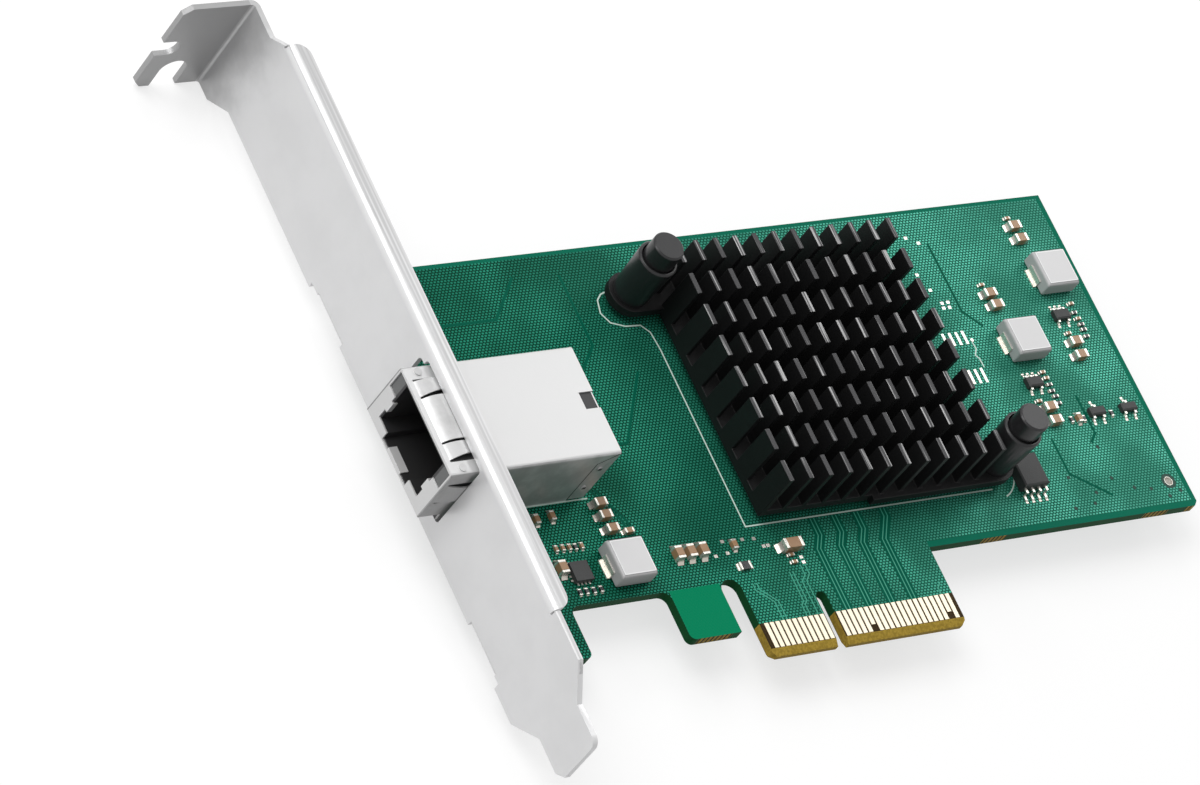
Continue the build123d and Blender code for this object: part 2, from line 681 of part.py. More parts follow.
# Magnetics module behind the socket, its pins through the board, and the solder round each pin
with BuildPart() as jack_magnetics:
    with BuildSketch(Plane.YZ.offset(insert_rear)):
        with Locations((jack_y, housing_top)):
            Rectangle(housing_w, housing_top - face - stand_off, align=(Align.CENTER, Align.MAX))
    extrude(amount=jack_rear - jack_sheet - insert_rear)
finish(jack_magnetics.part, "jack_magnetics")

with BuildPart() as jack_pins:
    with BuildSketch(Plane.XY.offset(face + stand_off)):
        with Locations(pins_at):
            Rectangle(pin_w, pin_w)
    extrude(amount=-(stand_off + board_t + leg_below))
finish(jack_pins.part, "jack_pins")

with BuildPart() as jack_solder:
    with BuildSketch(Plane.XY.offset(-face)):
        with Locations(pins_at):
            RegularPolygon(solder_r, solder_sides)
        with Locations(grounds_at):
            RegularPolygon(ground_solder_r, solder_sides)
    extrude(amount=-solder_h, taper=solder_taper)
    with BuildSketch(Plane.XY.offset(-face)):
        with Locations(pins_at):
            Rectangle(pin_w, pin_w)
        with Locations(grounds_at):
            Rectangle(ground_w, jack_sheet)
    extrude(amount=-solder_h, mode=Mode.SUBTRACT)
finish(jack_solder.part, "jack_solder")

# Controller chip, the pad on it, and the heatsink: a base with two corner ears and a field of
# straight fins
with BuildPart() as controller_chip:
    with BuildSketch(Plane.XY.offset(face)):
        with Locations((sink_x, sink_y)):
            Rectangle(chip_w, chip_w)
    extrude(amount=chip_h)
    chamfer(edges().group_by(Axis.Z)[-1], chip_edge)
finish(controller_chip.part, "controller_chip")

with BuildPart() as thermal_pad:
    with BuildSketch(Plane.XY.offset(face + chip_h)):
        with Locations((sink_x, sink_y)):
            Rectangle(chip_w - 4 * chip_edge, chip_w - 4 * chip_edge)
    extrude(amount=pad_t)
finish(thermal_pad.part, "thermal_pad")

sink_floor = sink_low + sink_base
with BuildPart() as heatsink:
    with BuildSketch(Plane.XY.offset(sink_low)):
        with Locations((sink_x, sink_y)):
            Rectangle(sink_w, sink_w)
        for x, y in push_pins_at:
            with Locations((x, y)):
                Circle(ear_r)
            with Locations(((x + sink_x) / 2, y)):
                Rectangle(abs(x - sink_x), 2 * ear_r)
    extrude(amount=sink_base)
    with BuildSketch(Plane.XY.offset(sink_floor)):
        with Locations((sink_x, sink_y)):
            with GridLocations((sink_w - fin_t) / (fin_cols - 1), (sink_w - fin_len) / (fin_rows - 1),
                               fin_cols, fin_rows):
                Rectangle(fin_t, fin_len)
    extrude(amount=fin_h)
    with BuildSketch(Plane.XY.offset(sink_floor)):
        with Locations(push_pins_at):
            Circle(sleeve_r + sleeve_clear)
    extrude(amount=fin_h, mode=Mode.SUBTRACT)
    with BuildSketch(Plane.XY.offset(sink_low)):
        with Locations(push_pins_at):
            Circle(push_hole_r)
    extrude(amount=sink_base, mode=Mode.SUBTRACT)
finish(heatsink.part, "heatsink")

# Push pins: head and shaft with a split barbed tip under the board, a sleeve, and a spring round
# the shaft that pulls the heatsink down
with BuildPart() as push_pins:
    with BuildSketch(Plane.XY.offset(sink_floor + pin_top)):
        with Locations(push_pins_at):
            Circle(pin_head_r)
    extrude(amount=-pin_head_h)
    chamfer(edges().filter_by(GeomType.CIRCLE).group_by(Axis.Z)[-1], pin_head_edge)
    with BuildSketch(Plane.XY.offset(-face)):
        with Locations(push_pins_at):
            Circle(pin_shaft_r)
    extrude(amount=sink_floor + pin_top - pin_head_h + face)
    with Locations([(x, y, -face) for x, y in push_pins_at]):
        Cone(barb_tip_r, barb_r, barb_h, align=(Align.CENTER, Align.CENTER, Align.MAX))
    with BuildSketch(Plane.XY.offset(-face - barb_h)):
        with Locations(push_pins_at):
            Rectangle(2 * barb_r, barb_slot)
    extrude(amount=barb_h + board_t, mode=Mode.SUBTRACT)
finish(push_pins.part, "push_pins")

with BuildPart() as push_pin_sleeves:
    with Locations([(x, y, sink_floor) for x, y in push_pins_at]):
        Cone(sleeve_foot_r, sleeve_r, sleeve_h, align=(Align.CENTER, Align.CENTER, Align.MIN))
        Cylinder(sleeve_bore, sleeve_h, align=(Align.CENTER, Align.CENTER, Align.MIN), mode=Mode.SUBTRACT)
    with Locations([(x, y, sink_floor + sleeve_h) for x, y in push_pins_at]):
        Cylinder(sleeve_mouth_r, sleeve_mouth_deep, align=(Align.CENTER, Align.CENTER, Align.MAX),
                 mode=Mode.SUBTRACT)
    rims = edges().filter_by(GeomType.CIRCLE).group_by(Axis.Z)[-1].sort_by(SortBy.RADIUS)
    chamfer(rims[-2:], sleeve_edge)
finish(push_pin_sleeves.part, "push_pin_sleeves")

coil_h = pin_top - pin_head_h - 2 * spring_wire
with BuildPart() as one_spring:
    with BuildLine() as coil:
        Helix(coil_h / spring_turns, coil_h, spring_r)
    with BuildSketch(Plane(origin=coil.line @ 0, z_dir=coil.line % 0)):
        RegularPolygon(spring_wire, 4)
    sweep()
with BuildPart() as push_pin_springs:
    with Locations([(x, y, sink_floor + spring_wire) for x, y in push_pins_at]):
        add(one_spring.part)
finish(push_pin_springs.part, "push_pin_springs")

# Power inductors: moulded bodies on two strap terminals each
with BuildPart() as inductor_bodies:
    with BuildSketch(Plane.XY.offset(face + terminal_t)):
        with Locations(inductor_spots):
            Rectangle(inductor_w, inductor_w)
    extrude(amount=inductor_h - terminal_t)
    chamfer(edges().group_by(Axis.Z)[-1], inductor_edge)
finish(inductor_bodies.part, "inductor_bodies")

with BuildPart() as inductor_terminals:
    for x, y in inductor_spots:
        for side in (-1, 1):
            edge = x + side * inductor_w / 2
            with BuildSketch(Plane.XZ.offset(-(y + terminal_w / 2))):
                with BuildLine():
                    Polyline((edge - side * terminal_foot, face), (edge + side * terminal_toe, face),
                             (edge + side * terminal_toe, face + terminal_t),
                             (edge + side * terminal_t, face + terminal_t),
                             (edge + side * terminal_t, face + terminal_rise), (edge, face + terminal_rise),
                             (edge, face + terminal_t), (edge - side * terminal_foot, face + terminal_t),
                             close=True)
                make_face()
            extrude(amount=terminal_w)
finish(inductor_terminals.part, "inductor_terminals")


def gull_wing(x, y, side, half, span, height):
    """One bent lead that leaves the body's side half way up and lies on the board at its toe."""
    root, toe = y + side * half, y + side * span / 2
    knee = (root + toe) / 2
    step = side * lead_t / 2
    level = face + height / 2
    with BuildSketch(Plane.YZ.offset(x - lead_w / 2)) as section:
        with BuildLine():
            Polyline((root, level + lead_t / 2), (knee + step, level + lead_t / 2),
                     (knee + step, face + lead_t), (toe, face + lead_t), (toe, face), (knee - step, face),
                     (knee - step, level - lead_t / 2), (root, level - lead_t / 2), close=True)
        make_face()
    extrude(section.sketch, amount=lead_w)


# Leaded chips: bodies in one node and leads in another for each kind
lead_sets = {
    "memory_chip": ([memory_spot], memory_size, memory_span,
                    [(side, i * memory_pitch) for side in (-1, 1) for i in (-1.5, -0.5, 0.5, 1.5)]),
    "regulator": (regulator_spots, regulator_size, small_span,
                  [(-1, -small_pitch), (-1, small_pitch)] + [(1, i * small_pitch) for i in (-1, 0, 1)]),
    "transistor": (transistor_spots, transistor_size, small_span,
                   [(-1, -small_pitch), (-1, small_pitch), (1, 0)]),
}
for name, (spots, size, span, leads) in lead_sets.items():
    with BuildPart() as bodies:
        with BuildSketch(Plane.XY.offset(face + body_lift)):
            with Locations(spots):
                Rectangle(size[0], size[1])
        extrude(amount=size[2] - body_lift)
        chamfer(edges().group_by(Axis.Z)[-1], chip_edge)
    finish(bodies.part, f"{name}_bodies")
    with BuildPart() as legs:
        for x, y in spots:
            for side, shift in leads:
                gull_wing(x + shift, y, side, size[1] / 2, span, size[2])
    finish(legs.part, f"{name}_leads")

with BuildPart() as switching_regulator:
    with BuildSketch(Plane.XY.offset(face)):
        with Locations(switcher_spot):
            Rectangle(switcher_w, switcher_w)
    extrude(amount=switcher_h)
finish(switching_regulator.part, "switching_regulator")

# Ceramic capacitors and resistors: a middle and two metal end caps each
chip_groups = {
    "large_capacitor": (large_size, large_spots),
    "wide_capacitor": (wide_size, wide_spots),
    "medium_capacitor": (medium_size, medium_spots),
    "small_capacitor": (small_size, small_spots),
    "tiny_capacitor": (tiny_size, tiny_spots),
    "resistor": (resistor_size, resistor_spots),
    "small_resistor": (chip_resistor_size, chip_resistor_spots),
}
for name, ((length, width, height, cap), spots) in chip_groups.items():
    with BuildPart() as middles:
        with BuildSketch(Plane.XY.offset(face)):
            for x, y, turn in spots:
                with Locations(Location((x, y), turn)):
                    Rectangle(length - 2 * cap, width)
        extrude(amount=height)
    finish(middles.part, f"{name}_bodies")
    with BuildPart() as ends:
        with BuildSketch(Plane.XY.offset(face)):
            for x, y, turn in spots:
                with Locations(Location((x, y), turn)):
                    with Locations((-(length - cap) / 2, 0), ((length - cap) / 2, 0)):
                        Rectangle(cap, width)
        extrude(amount=height)
    finish(ends.part, f"{name}_ends")
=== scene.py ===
import logging
import math
from dataclasses import dataclass
from enum import Enum
from typing import Callable, Iterable, Optional, Sequence

import bmesh
import bpy
from mathutils import Matrix, Vector


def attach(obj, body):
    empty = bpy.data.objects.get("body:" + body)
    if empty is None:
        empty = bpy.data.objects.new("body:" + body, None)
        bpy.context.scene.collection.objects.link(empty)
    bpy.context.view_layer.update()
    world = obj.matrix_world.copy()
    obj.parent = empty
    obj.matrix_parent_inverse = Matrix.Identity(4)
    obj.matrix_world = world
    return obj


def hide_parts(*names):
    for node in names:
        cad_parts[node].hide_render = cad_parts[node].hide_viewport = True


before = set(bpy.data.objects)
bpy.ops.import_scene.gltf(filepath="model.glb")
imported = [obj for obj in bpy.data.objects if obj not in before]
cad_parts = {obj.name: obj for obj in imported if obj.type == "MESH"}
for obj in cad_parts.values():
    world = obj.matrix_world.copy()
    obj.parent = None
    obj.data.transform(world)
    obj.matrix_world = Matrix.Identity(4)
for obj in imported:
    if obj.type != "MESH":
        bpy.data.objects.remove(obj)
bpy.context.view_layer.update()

MM = 0.001
BOARD_FACE = 0.785
MERGE_GAP = 1e-6
FLAT_ANGLE = 1.0
MITRE_LIMIT = 0.3
SOLDER_LIP = 0.05
SOLDER_BENDS = ((0.6, 0.2), (0.25, 0.55))
LOG = logging.getLogger("network_card")

Point = tuple[float, float]
Spot = tuple[float, float, float]
Colour = tuple[float, float, float]
Four = tuple[float, float, float, float]
Socket = bpy.types.NodeSocket


class Slot(Enum):
    """The record's material slots."""

    MASK_GREEN = "mask_green"
    LEAD_TIN = "lead_tin"
    BRACKET_STEEL = "bracket_steel"
    SHIELD_STEEL = "shield_steel"
    HOUSING_BLACK = "housing_black"
    ANODISED_BLACK = "anodised_black"
    PIN_BLACK = "pin_black"
    INDUCTOR_GREY = "inductor_grey"
    CAPACITOR_TAN = "capacitor_tan"


class Effect(Enum):
    """The node groups that the finishes share."""

    GRAIN = "Fine Grain"
    MARKS = "Handling Marks"
    MESH = "Copper Mesh"


class NodeKit:
    """Adds and joins the nodes of one shader tree."""

    def __init__(self, tree: bpy.types.NodeTree) -> None:
        """Keeps the tree, a material's or a group's, that the nodes go into."""
        self.tree = tree

    def add(self, kind: str, *values: object, **settings: object) -> bpy.types.Node:
        """Adds one node.

        Args:
            kind: the node's type name.
            values: what its inputs are fed with, from the first one on.
            settings: properties to set on it.

        Returns:
            The new node.
        """
        node = self.tree.nodes.new(kind)
        for name, value in settings.items():
            setattr(node, name, value)
        for socket, value in zip(node.inputs, values):
            self.feed(socket, value)
        return node

    def feed(self, socket: Socket, value: object) -> None:
        """Links a socket to another one, or gives it a plain value.

        Args:
            socket: the input.
            value: an output socket, a number, or a colour.
        """
        if isinstance(value, Socket):
            self.tree.links.new(value, socket)
        elif socket.type == "RGBA":
            socket.default_value = (*value, 1.0)
        else:
            socket.default_value = value

    def math(self, operation: str, *values: object) -> Socket:
        """Returns the result of a Math node that works on sockets or numbers."""
        return self.add("ShaderNodeMath", *values, operation=operation).outputs[0]

    def times(self, first: object, second: object) -> Socket:
        """Returns the product of two values, such as where two masks meet."""
        return self.math("MULTIPLY", first, second)

    def mix(self, factor: object, first: object, second: object) -> Socket:
        """Mixes two colours.

        Args:
            factor: how much of the second colour shows.
            first: a colour or a socket.
            second: a colour or a socket.

        Returns:
            The mixed colour's socket.
        """
        node = self.add("ShaderNodeMix", data_type="RGBA")
        for place, value in ((0, factor), (6, first), (7, second)):
            self.feed(node.inputs[place], value)
        return node.outputs[2]

    def ramp(self, value: object, low: float, high: float) -> Socket:
        """Returns a value mapped smoothly so that low becomes 0 and high becomes 1, held at both ends."""
        return self.add("ShaderNodeMapRange", value, low, high, interpolation_type="SMOOTHSTEP").outputs[0]

    def wave(self, value: Socket, pitch: object) -> Socket:
        """Returns a sine of a coordinate, with one wave to each pitch."""
        return self.math("SINE", self.times(self.math("DIVIDE", value, pitch), 2.0 * math.pi))

    def noise(self, vector: Socket, scale: Socket, detail: float = 2.0, roughness: float = 0.5) -> Socket:
        """Returns a noise read at a vector, with its scale, its finer layers and how strong those are."""
        return self.add("ShaderNodeTexNoise", vector, 0.0, scale, detail, roughness).outputs["Fac"]

    def place(self) -> Socket:
        """Returns the Object coordinates."""
        return self.add("ShaderNodeTexCoord").outputs["Object"]

    def axes(self) -> Sequence[Socket]:
        """Returns the Object coordinates' x, y and z, in metres."""
        return self.add("ShaderNodeSeparateXYZ", self.place()).outputs

    def over(self, value: Socket, place: float) -> Socket:
        """Returns 1 where a coordinate is over a place in millimetres, and 0 elsewhere."""
        return self.math("GREATER_THAN", value, place * MM)

    def under(self, value: Socket, place: float) -> Socket:
        """Returns 1 where a coordinate is under a place in millimetres, and 0 elsewhere."""
        return self.math("LESS_THAN", value, place * MM)

    def inside(self, value: Socket, low: float, high: float) -> Socket:
        """Returns 1 where a coordinate lies between two places in millimetres, and 0 elsewhere."""
        return self.times(self.over(value, low), self.under(value, high))


class FinishKit(NodeKit):
    """The nodes of one material, with a way to its shader and to the shared effects."""

    def __init__(self, name: str, colour: Colour) -> None:
        """Starts the material.

        Args:
            name: its name.
            colour: its plain colour.
        """
        self.material = bpy.data.materials.new(name)
        self.material.use_nodes = True
        self.material.diffuse_color = (*colour, 1.0)
        super().__init__(self.material.node_tree)

    def dress(self, **values: object) -> None:
        """Feeds the shader's own sockets, each named with underscores for its spaces."""
        for name, value in values.items():
            self.feed(self.tree.nodes["Principled BSDF"].inputs[name.replace("_", " ")], value)

    def effect(self, effect: Effect, **values: float) -> Socket:
        """Places a shared effect.

        Args:
            effect: which one.
            values: its own values.

        Returns:
            The socket of its result.
        """
        node = self.add("ShaderNodeGroup", node_tree=bpy.data.node_groups[effect.value])
        for name, value in values.items():
            self.feed(node.inputs[name], value)
        return node.outputs[0]

    def bump(self, height: Socket, strength: float, distance: float = 0.05) -> None:
        """Lets a value raise the surface.

        Args:
            height: the value.
            strength: how strongly it shows.
            distance: how high 1 stands, in millimetres.
        """
        node = self.add("ShaderNodeBump")
        for name, value in (("Strength", strength), ("Distance", distance * MM), ("Height", height)):
            self.feed(node.inputs[name], value)
        self.dress(Normal=node.outputs["Normal"])


@dataclass(frozen=True)
class EffectBuilder:
    """Builds the shared effects, each once, as a node group with one result."""

    grain_detail: float = 3.0
    marks_detail: float = 5.0
    marks_roughness: float = 0.6
    marks_run: Point = (0.38, 0.68)
    row_run: Point = (0.3, 0.7)
    dot_run: Point = (-0.7, -0.1)
    cloud_run: Point = (0.35, 0.62)
    cloud_share: float = 0.45

    def build(self) -> None:
        """Builds every group."""
        self._fine_grain()
        self._handling_marks()
        self._copper_mesh()

    @staticmethod
    def _start(effect: Effect, result: str, **inputs: float) -> tuple[NodeKit, bpy.types.NodeOutputs, Socket]:
        """Makes an empty group with its sockets.

        Args:
            effect: which one.
            result: the name of its result, a number.
            inputs: names and defaults of its own numbers.

        Returns:
            Its kit, what it is given, and the socket that takes its result.
        """
        tree = bpy.data.node_groups.new(effect.value, "ShaderNodeTree")
        for name, default in inputs.items():
            socket = tree.interface.new_socket(name=name, in_out="INPUT", socket_type="NodeSocketFloat")
            socket.default_value = default
        tree.interface.new_socket(name=result, in_out="OUTPUT", socket_type="NodeSocketFloat")
        kit = NodeKit(tree)
        return kit, kit.add("NodeGroupInput").outputs, kit.add("NodeGroupOutput").inputs[0]

    def _fine_grain(self) -> None:
        """Builds a fine even grain, which Stretch draws out along y."""
        kit, given, result = self._start(Effect.GRAIN, "Grain", Scale=2000.0, Stretch=1.0)
        x, y, z = kit.axes()
        drawn = kit.add("ShaderNodeCombineXYZ", x, kit.math("DIVIDE", y, given["Stretch"]), z).outputs[0]
        kit.feed(result, kit.noise(drawn, given["Scale"], self.grain_detail))

    def _handling_marks(self) -> None:
        """Builds broad faint smudges, as sheet metal and plastic pick up."""
        kit, given, result = self._start(Effect.MARKS, "Mask", Scale=60.0, Amount=1.0)
        smudges = kit.noise(kit.place(), given["Scale"], self.marks_detail, self.marks_roughness)
        kit.feed(result, kit.times(kit.ramp(smudges, *self.marks_run), given["Amount"]))

    def _copper_mesh(self) -> None:
        """Builds the fine mesh of copper that shows through the board's coating, in staggered rows."""
        kit, given, result = self._start(Effect.MESH, "Dots", Across=0.00060, Along=0.00086, Cloud=70.0)
        x, y, _ = kit.axes()
        across, along = kit.wave(x, given["Across"]), kit.wave(y, given["Along"])
        staggered = kit.times(across, kit.math("SIGN", along))
        rows = kit.ramp(kit.math("ABSOLUTE", along), *self.row_run)
        dots = kit.times(kit.ramp(staggered, *self.dot_run), rows)
        cloud = kit.ramp(kit.noise(kit.place(), given["Cloud"]), *self.cloud_run)
        depth = kit.math("MULTIPLY_ADD", cloud, self.cloud_share, 1.0 - self.cloud_share)
        kit.feed(result, kit.times(dots, depth))


def toned(colour: Colour, tone: float) -> Colour:
    """Returns a colour at a share of its brightness."""
    return tuple(tone * c for c in colour)


@dataclass(frozen=True)
class Finish:
    """One plain finish: colour, gloss and how much grain and handling it shows."""

    colour: Colour
    roughness: float = 0.5
    metallic: float = 0.0
    grain_scale: float = 0.0
    grain_depth: float = 0.0
    marks: float = 0.0
    coat: float = 0.0
    specular: float = 0.5
    marks_tone: float = 0.92
    marks_dull: float = 0.12

    def dress(self, kit: FinishKit) -> None:
        """Feeds the material's shader.

        Args:
            kit: the material's kit.
        """
        kit.dress(Base_Color=self.colour, Roughness=self.roughness, Metallic=self.metallic, Coat_Weight=self.coat,
                  Specular_IOR_Level=self.specular)
        if self.marks > 0.0:
            mask = kit.effect(Effect.MARKS, Amount=self.marks)
            kit.dress(Base_Color=kit.mix(mask, self.colour, toned(self.colour, self.marks_tone)),
                      Roughness=kit.math("MULTIPLY_ADD", mask, self.marks_dull, self.roughness))
        if self.grain_depth > 0.0:
            kit.bump(kit.effect(Effect.GRAIN, Scale=self.grain_scale), self.grain_depth)


@dataclass(frozen=True)
class BoardCoating:
    """The board's green coating over its copper mesh, its bare leg and its cut edges, placed in millimetres, with a
    painted glare that lightens coating and mesh towards +x.
    """

    colour: Colour = (0.0004, 0.03, 0.015)
    # The next two colours are painted glare: coating and mesh turn lighter towards +x.
    glare_colour: Colour = (0.01, 0.108, 0.068)
    dots: Colour = (0.02, 0.27, 0.172)
    glare_dots: Colour = (0.09, 0.45, 0.33)
    glare_drift: Point = (-45.0, 72.0)  # from the first colours to the far ones
    bare: Colour = (0.0012, 0.23, 0.105)
    edge: Colour = (0.008, 0.07, 0.022)
    bevel: Colour = (0.44, 0.3, 0.05)
    gap: Colour = (0.04, 0.025, 0.01)
    rim: Colour = (0.004, 0.15, 0.09)  # the strip without mesh along the board's sides
    rims: tuple[Four, ...] = (  # left, right, low and high
        (22.6, 80.0, 12.0, 13.75), (73.9, 80.0, 12.0, 80.0), (-60.0, 80.0, 67.4, 80.0))
    cut_z: float = 0.745
    leg: Spot = (-24.9, -16.1, 12.3)  # left, right and top, as the stubs too
    tongue: Point = (-12.7, 22.7)
    bevel_top: float = 1.15
    finger_top: float = 5.2
    stubs: tuple[Spot, ...] = ((-23.6, -17.6, 5.0), (33.0, 37.5, 13.4), (64.3, 68.9, 13.4), (72.6, 74.2, 13.4))
    teeth_pitch: float = 0.8
    teeth_from: float = -0.3
    fibre_scale: float = 2500.0
    fibre_run: Point = (0.35, 0.65)
    fibre_tone: float = 0.72
    metallic: float = 0.30
    roughness: float = 0.46
    copper_gloss: float = -0.16
    specular: float = 0.03
    mesh_deep: float = 0.35
    mesh_high: float = 0.03

    def dress(self, kit: FinishKit) -> None:
        """Feeds the material's shader.

        Args:
            kit: the material's kit.
        """
        x, y, z = kit.axes()
        rim = 0.0
        for left, right, low, high in self.rims:
            box = kit.times(kit.inside(x, left, right), kit.inside(y, low, high))
            rim = kit.math("MAXIMUM", rim, box)
        dots = kit.times(kit.effect(Effect.MESH), kit.math("SUBTRACT", 1.0, rim))
        # Painted glare: coating and mesh lighter towards +x.
        painted_glare = kit.ramp(x, *(place * MM for place in self.glare_drift))
        colour = kit.mix(dots, kit.mix(painted_glare, self.colour, self.glare_colour), kit.mix(painted_glare, self.dots, self.glare_dots))
        bare, bevel, fingers, *stubs = (
            kit.times(kit.inside(x, left, right), kit.under(y, top))
            for left, right, top in (self.leg, (*self.tongue, self.bevel_top), (*self.tongue, self.finger_top),
                                     *self.stubs))
        cut = kit.under(kit.math("ABSOLUTE", z), self.cut_z)
        bevel = kit.math("MAXIMUM", bevel, kit.times(cut, fingers))
        grain = kit.ramp(kit.effect(Effect.GRAIN, Scale=self.fibre_scale), *self.fibre_run)
        fibre = kit.mix(grain, self.bevel, toned(self.bevel, self.fibre_tone))
        teeth = kit.math("GREATER_THAN", kit.wave(x, self.teeth_pitch * MM), self.teeth_from)
        stub_end = kit.mix(teeth, self.gap, fibre)
        for mask, layer in ((rim, self.rim), (bare, self.bare), (fingers, self.gap), (cut, self.edge),
                            (bevel, fibre), *((kit.times(stub, cut), stub_end) for stub in stubs)):
            colour = kit.mix(mask, colour, layer)
        copper = kit.times(dots, kit.math("SUBTRACT", 1.0, kit.math("MAXIMUM", bare, cut)))
        kit.dress(Base_Color=colour, Metallic=kit.times(copper, self.metallic),
                  Roughness=kit.math("MULTIPLY_ADD", copper, self.copper_gloss, self.roughness),
                  Specular_IOR_Level=self.specular)
        kit.bump(dots, self.mesh_deep, self.mesh_high)


@dataclass(frozen=True)
class PlatedSheet:
    """The bracket's plated steel with handling marks and painted shade: darker towards the fold, on the tab and on
    the flange, with streaks along its flange.
    """

    colour: Colour = (0.77, 0.77, 0.775)
    roughness: float = 0.34
    metallic: float = 0.4
    marks_scale: float = 90.0
    marks_share: float = 0.5
    marks_dull: float = 0.08
    light_tone: float = 0.92
    wander: float = 4.0
    # Painted shade and painted reflection: the body darkens towards the fold, and the tab and the flange are darker
    # throughout.
    fold: Point = (92.8, 105.8)
    fold_curve: float = 1.5
    fold_shade_tone: float = 0.66
    tab_x: float = -57.32
    tab_shade_tone: float = 0.50
    flange_x: float = -56.47
    flange_z: float = 13.9
    flange_shade_tone: float = 0.66
    streak_scale: float = 1500.0
    streak_long: float = 60.0
    streak_run: Point = (0.38, 0.62)
    streak_deep: float = 0.25

    def dress(self, kit: FinishKit) -> None:
        """Feeds the material's shader.

        Args:
            kit: the material's kit.
        """
        x, y, z = kit.axes()
        tones = (self.light_tone, self.fold_shade_tone, self.tab_shade_tone, self.flange_shade_tone)
        light, fold_shaded, tab, flange = (toned(self.colour, tone) for tone in tones)
        marks = kit.effect(Effect.MARKS, Scale=self.marks_scale)
        streaks = kit.effect(Effect.GRAIN, Scale=self.streak_scale, Stretch=self.streak_long)
        colour = kit.mix(kit.times(marks, self.marks_share), self.colour, light)
        wander = kit.times(kit.math("SUBTRACT", marks, 0.5), self.wander * MM)
        fold_shade_mask = kit.ramp(kit.math("ADD", y, wander), *(place * MM for place in self.fold))
        # Painted shade: darker towards the fold, on the tab and on the flange.
        colour = kit.mix(kit.math("POWER", fold_shade_mask, self.fold_curve), colour, fold_shaded)
        colour = kit.mix(kit.under(x, self.tab_x), colour, tab)
        flange_shade_mask = kit.times(kit.over(z, self.flange_z), kit.over(x, self.flange_x))
        colour = kit.mix(flange_shade_mask, colour, kit.mix(kit.ramp(streaks, *self.streak_run), flange, light))
        kit.dress(Base_Color=colour, Metallic=self.metallic,
                  Roughness=kit.math("MULTIPLY_ADD", marks, self.marks_dull, self.roughness))
        kit.bump(streaks, self.streak_deep)


@dataclass(frozen=True)
class ShieldSheet:
    """The jack's shiny sheet with painted shade: its sides darker than its roof, darkest at the nose, and its bowed
    springs a little darker.
    """

    colour: Colour = (0.69, 0.69, 0.69)
    roughness: float = 0.30
    metallic: float = 0.3
    marks_scale: float = 160.0
    marks_dull: float = 0.08
    sides: Point = (28.6, 45.7)
    # Painted shade: the sides, the nose and the bowed springs take darker tones of the sheet's colour.
    side_shade_tones: Point = (0.86, 0.58)
    nose_x: float = -56.0
    nose_shade_tones: Point = (0.56, 0.36)
    spring_z: float = 12.70
    spring_shade_tones: Point = (0.94, 0.74)
    grain_scale: float = 3000.0
    grain_deep: float = 0.15

    def dress(self, kit: FinishKit) -> None:
        """Feeds the material's shader.

        Args:
            kit: the material's kit.
        """
        x, y, z = kit.axes()
        marks = kit.effect(Effect.MARKS, Scale=self.marks_scale)
        # Painted shade on the bowed springs, the sides and the nose.
        spring_shaded, side, nose = (kit.mix(marks, *(toned(self.colour, tone) for tone in tones))
                              for tones in (self.spring_shade_tones, self.side_shade_tones, self.nose_shade_tones))
        side = kit.mix(kit.under(x, self.nose_x), side, nose)
        colour = kit.mix(kit.over(z, self.spring_z), self.colour, spring_shaded)
        shaded_sides = kit.math("MAXIMUM", kit.under(y, self.sides[0]), kit.over(y, self.sides[1]))
        kit.dress(Base_Color=kit.mix(shaded_sides, colour, side), Metallic=self.metallic,
                  Roughness=kit.math("MULTIPLY_ADD", marks, self.marks_dull, self.roughness))
        kit.bump(kit.effect(Effect.GRAIN, Scale=self.grain_scale), self.grain_deep)


@dataclass(frozen=True)
class SawnFins:
    """The heatsink's black anodising, grey along the sawn tops of its fins, partly rubbed metal and partly painted
    highlight, with painted highlight streaks there.
    """

    colour: Colour = (0.0075, 0.0075, 0.0078)
    # The fin tops' grey is partly rubbed metal and partly painted highlight; the pale colour after it is painted
    # highlight, in streaks.
    worn_and_highlight: Colour = (0.060, 0.060, 0.062)
    painted_highlight: Colour = (0.42, 0.42, 0.42)
    worn_z: float = 11.315
    worn_metallic: float = 0.35
    roughness: float = 0.5
    specular: float = 0.22
    line_scale: float = 2600.0
    line_long: float = 40.0
    line_run: Point = (0.50, 0.66)
    line_deep: float = 0.3

    def dress(self, kit: FinishKit) -> None:
        """Feeds the material's shader.

        Args:
            kit: the material's kit.
        """
        lines = kit.effect(Effect.GRAIN, Scale=self.line_scale, Stretch=self.line_long)
        top = kit.over(kit.axes()[2], self.worn_z)
        # Painted highlight: pale streaks along the fin tops.
        worn_and_highlight = kit.mix(kit.ramp(lines, *self.line_run), self.worn_and_highlight, self.painted_highlight)
        kit.dress(Base_Color=kit.mix(top, self.colour, worn_and_highlight), Metallic=kit.times(top, self.worn_metallic),
                  Roughness=self.roughness, Specular_IOR_Level=self.specular)
        kit.bump(lines, self.line_deep)


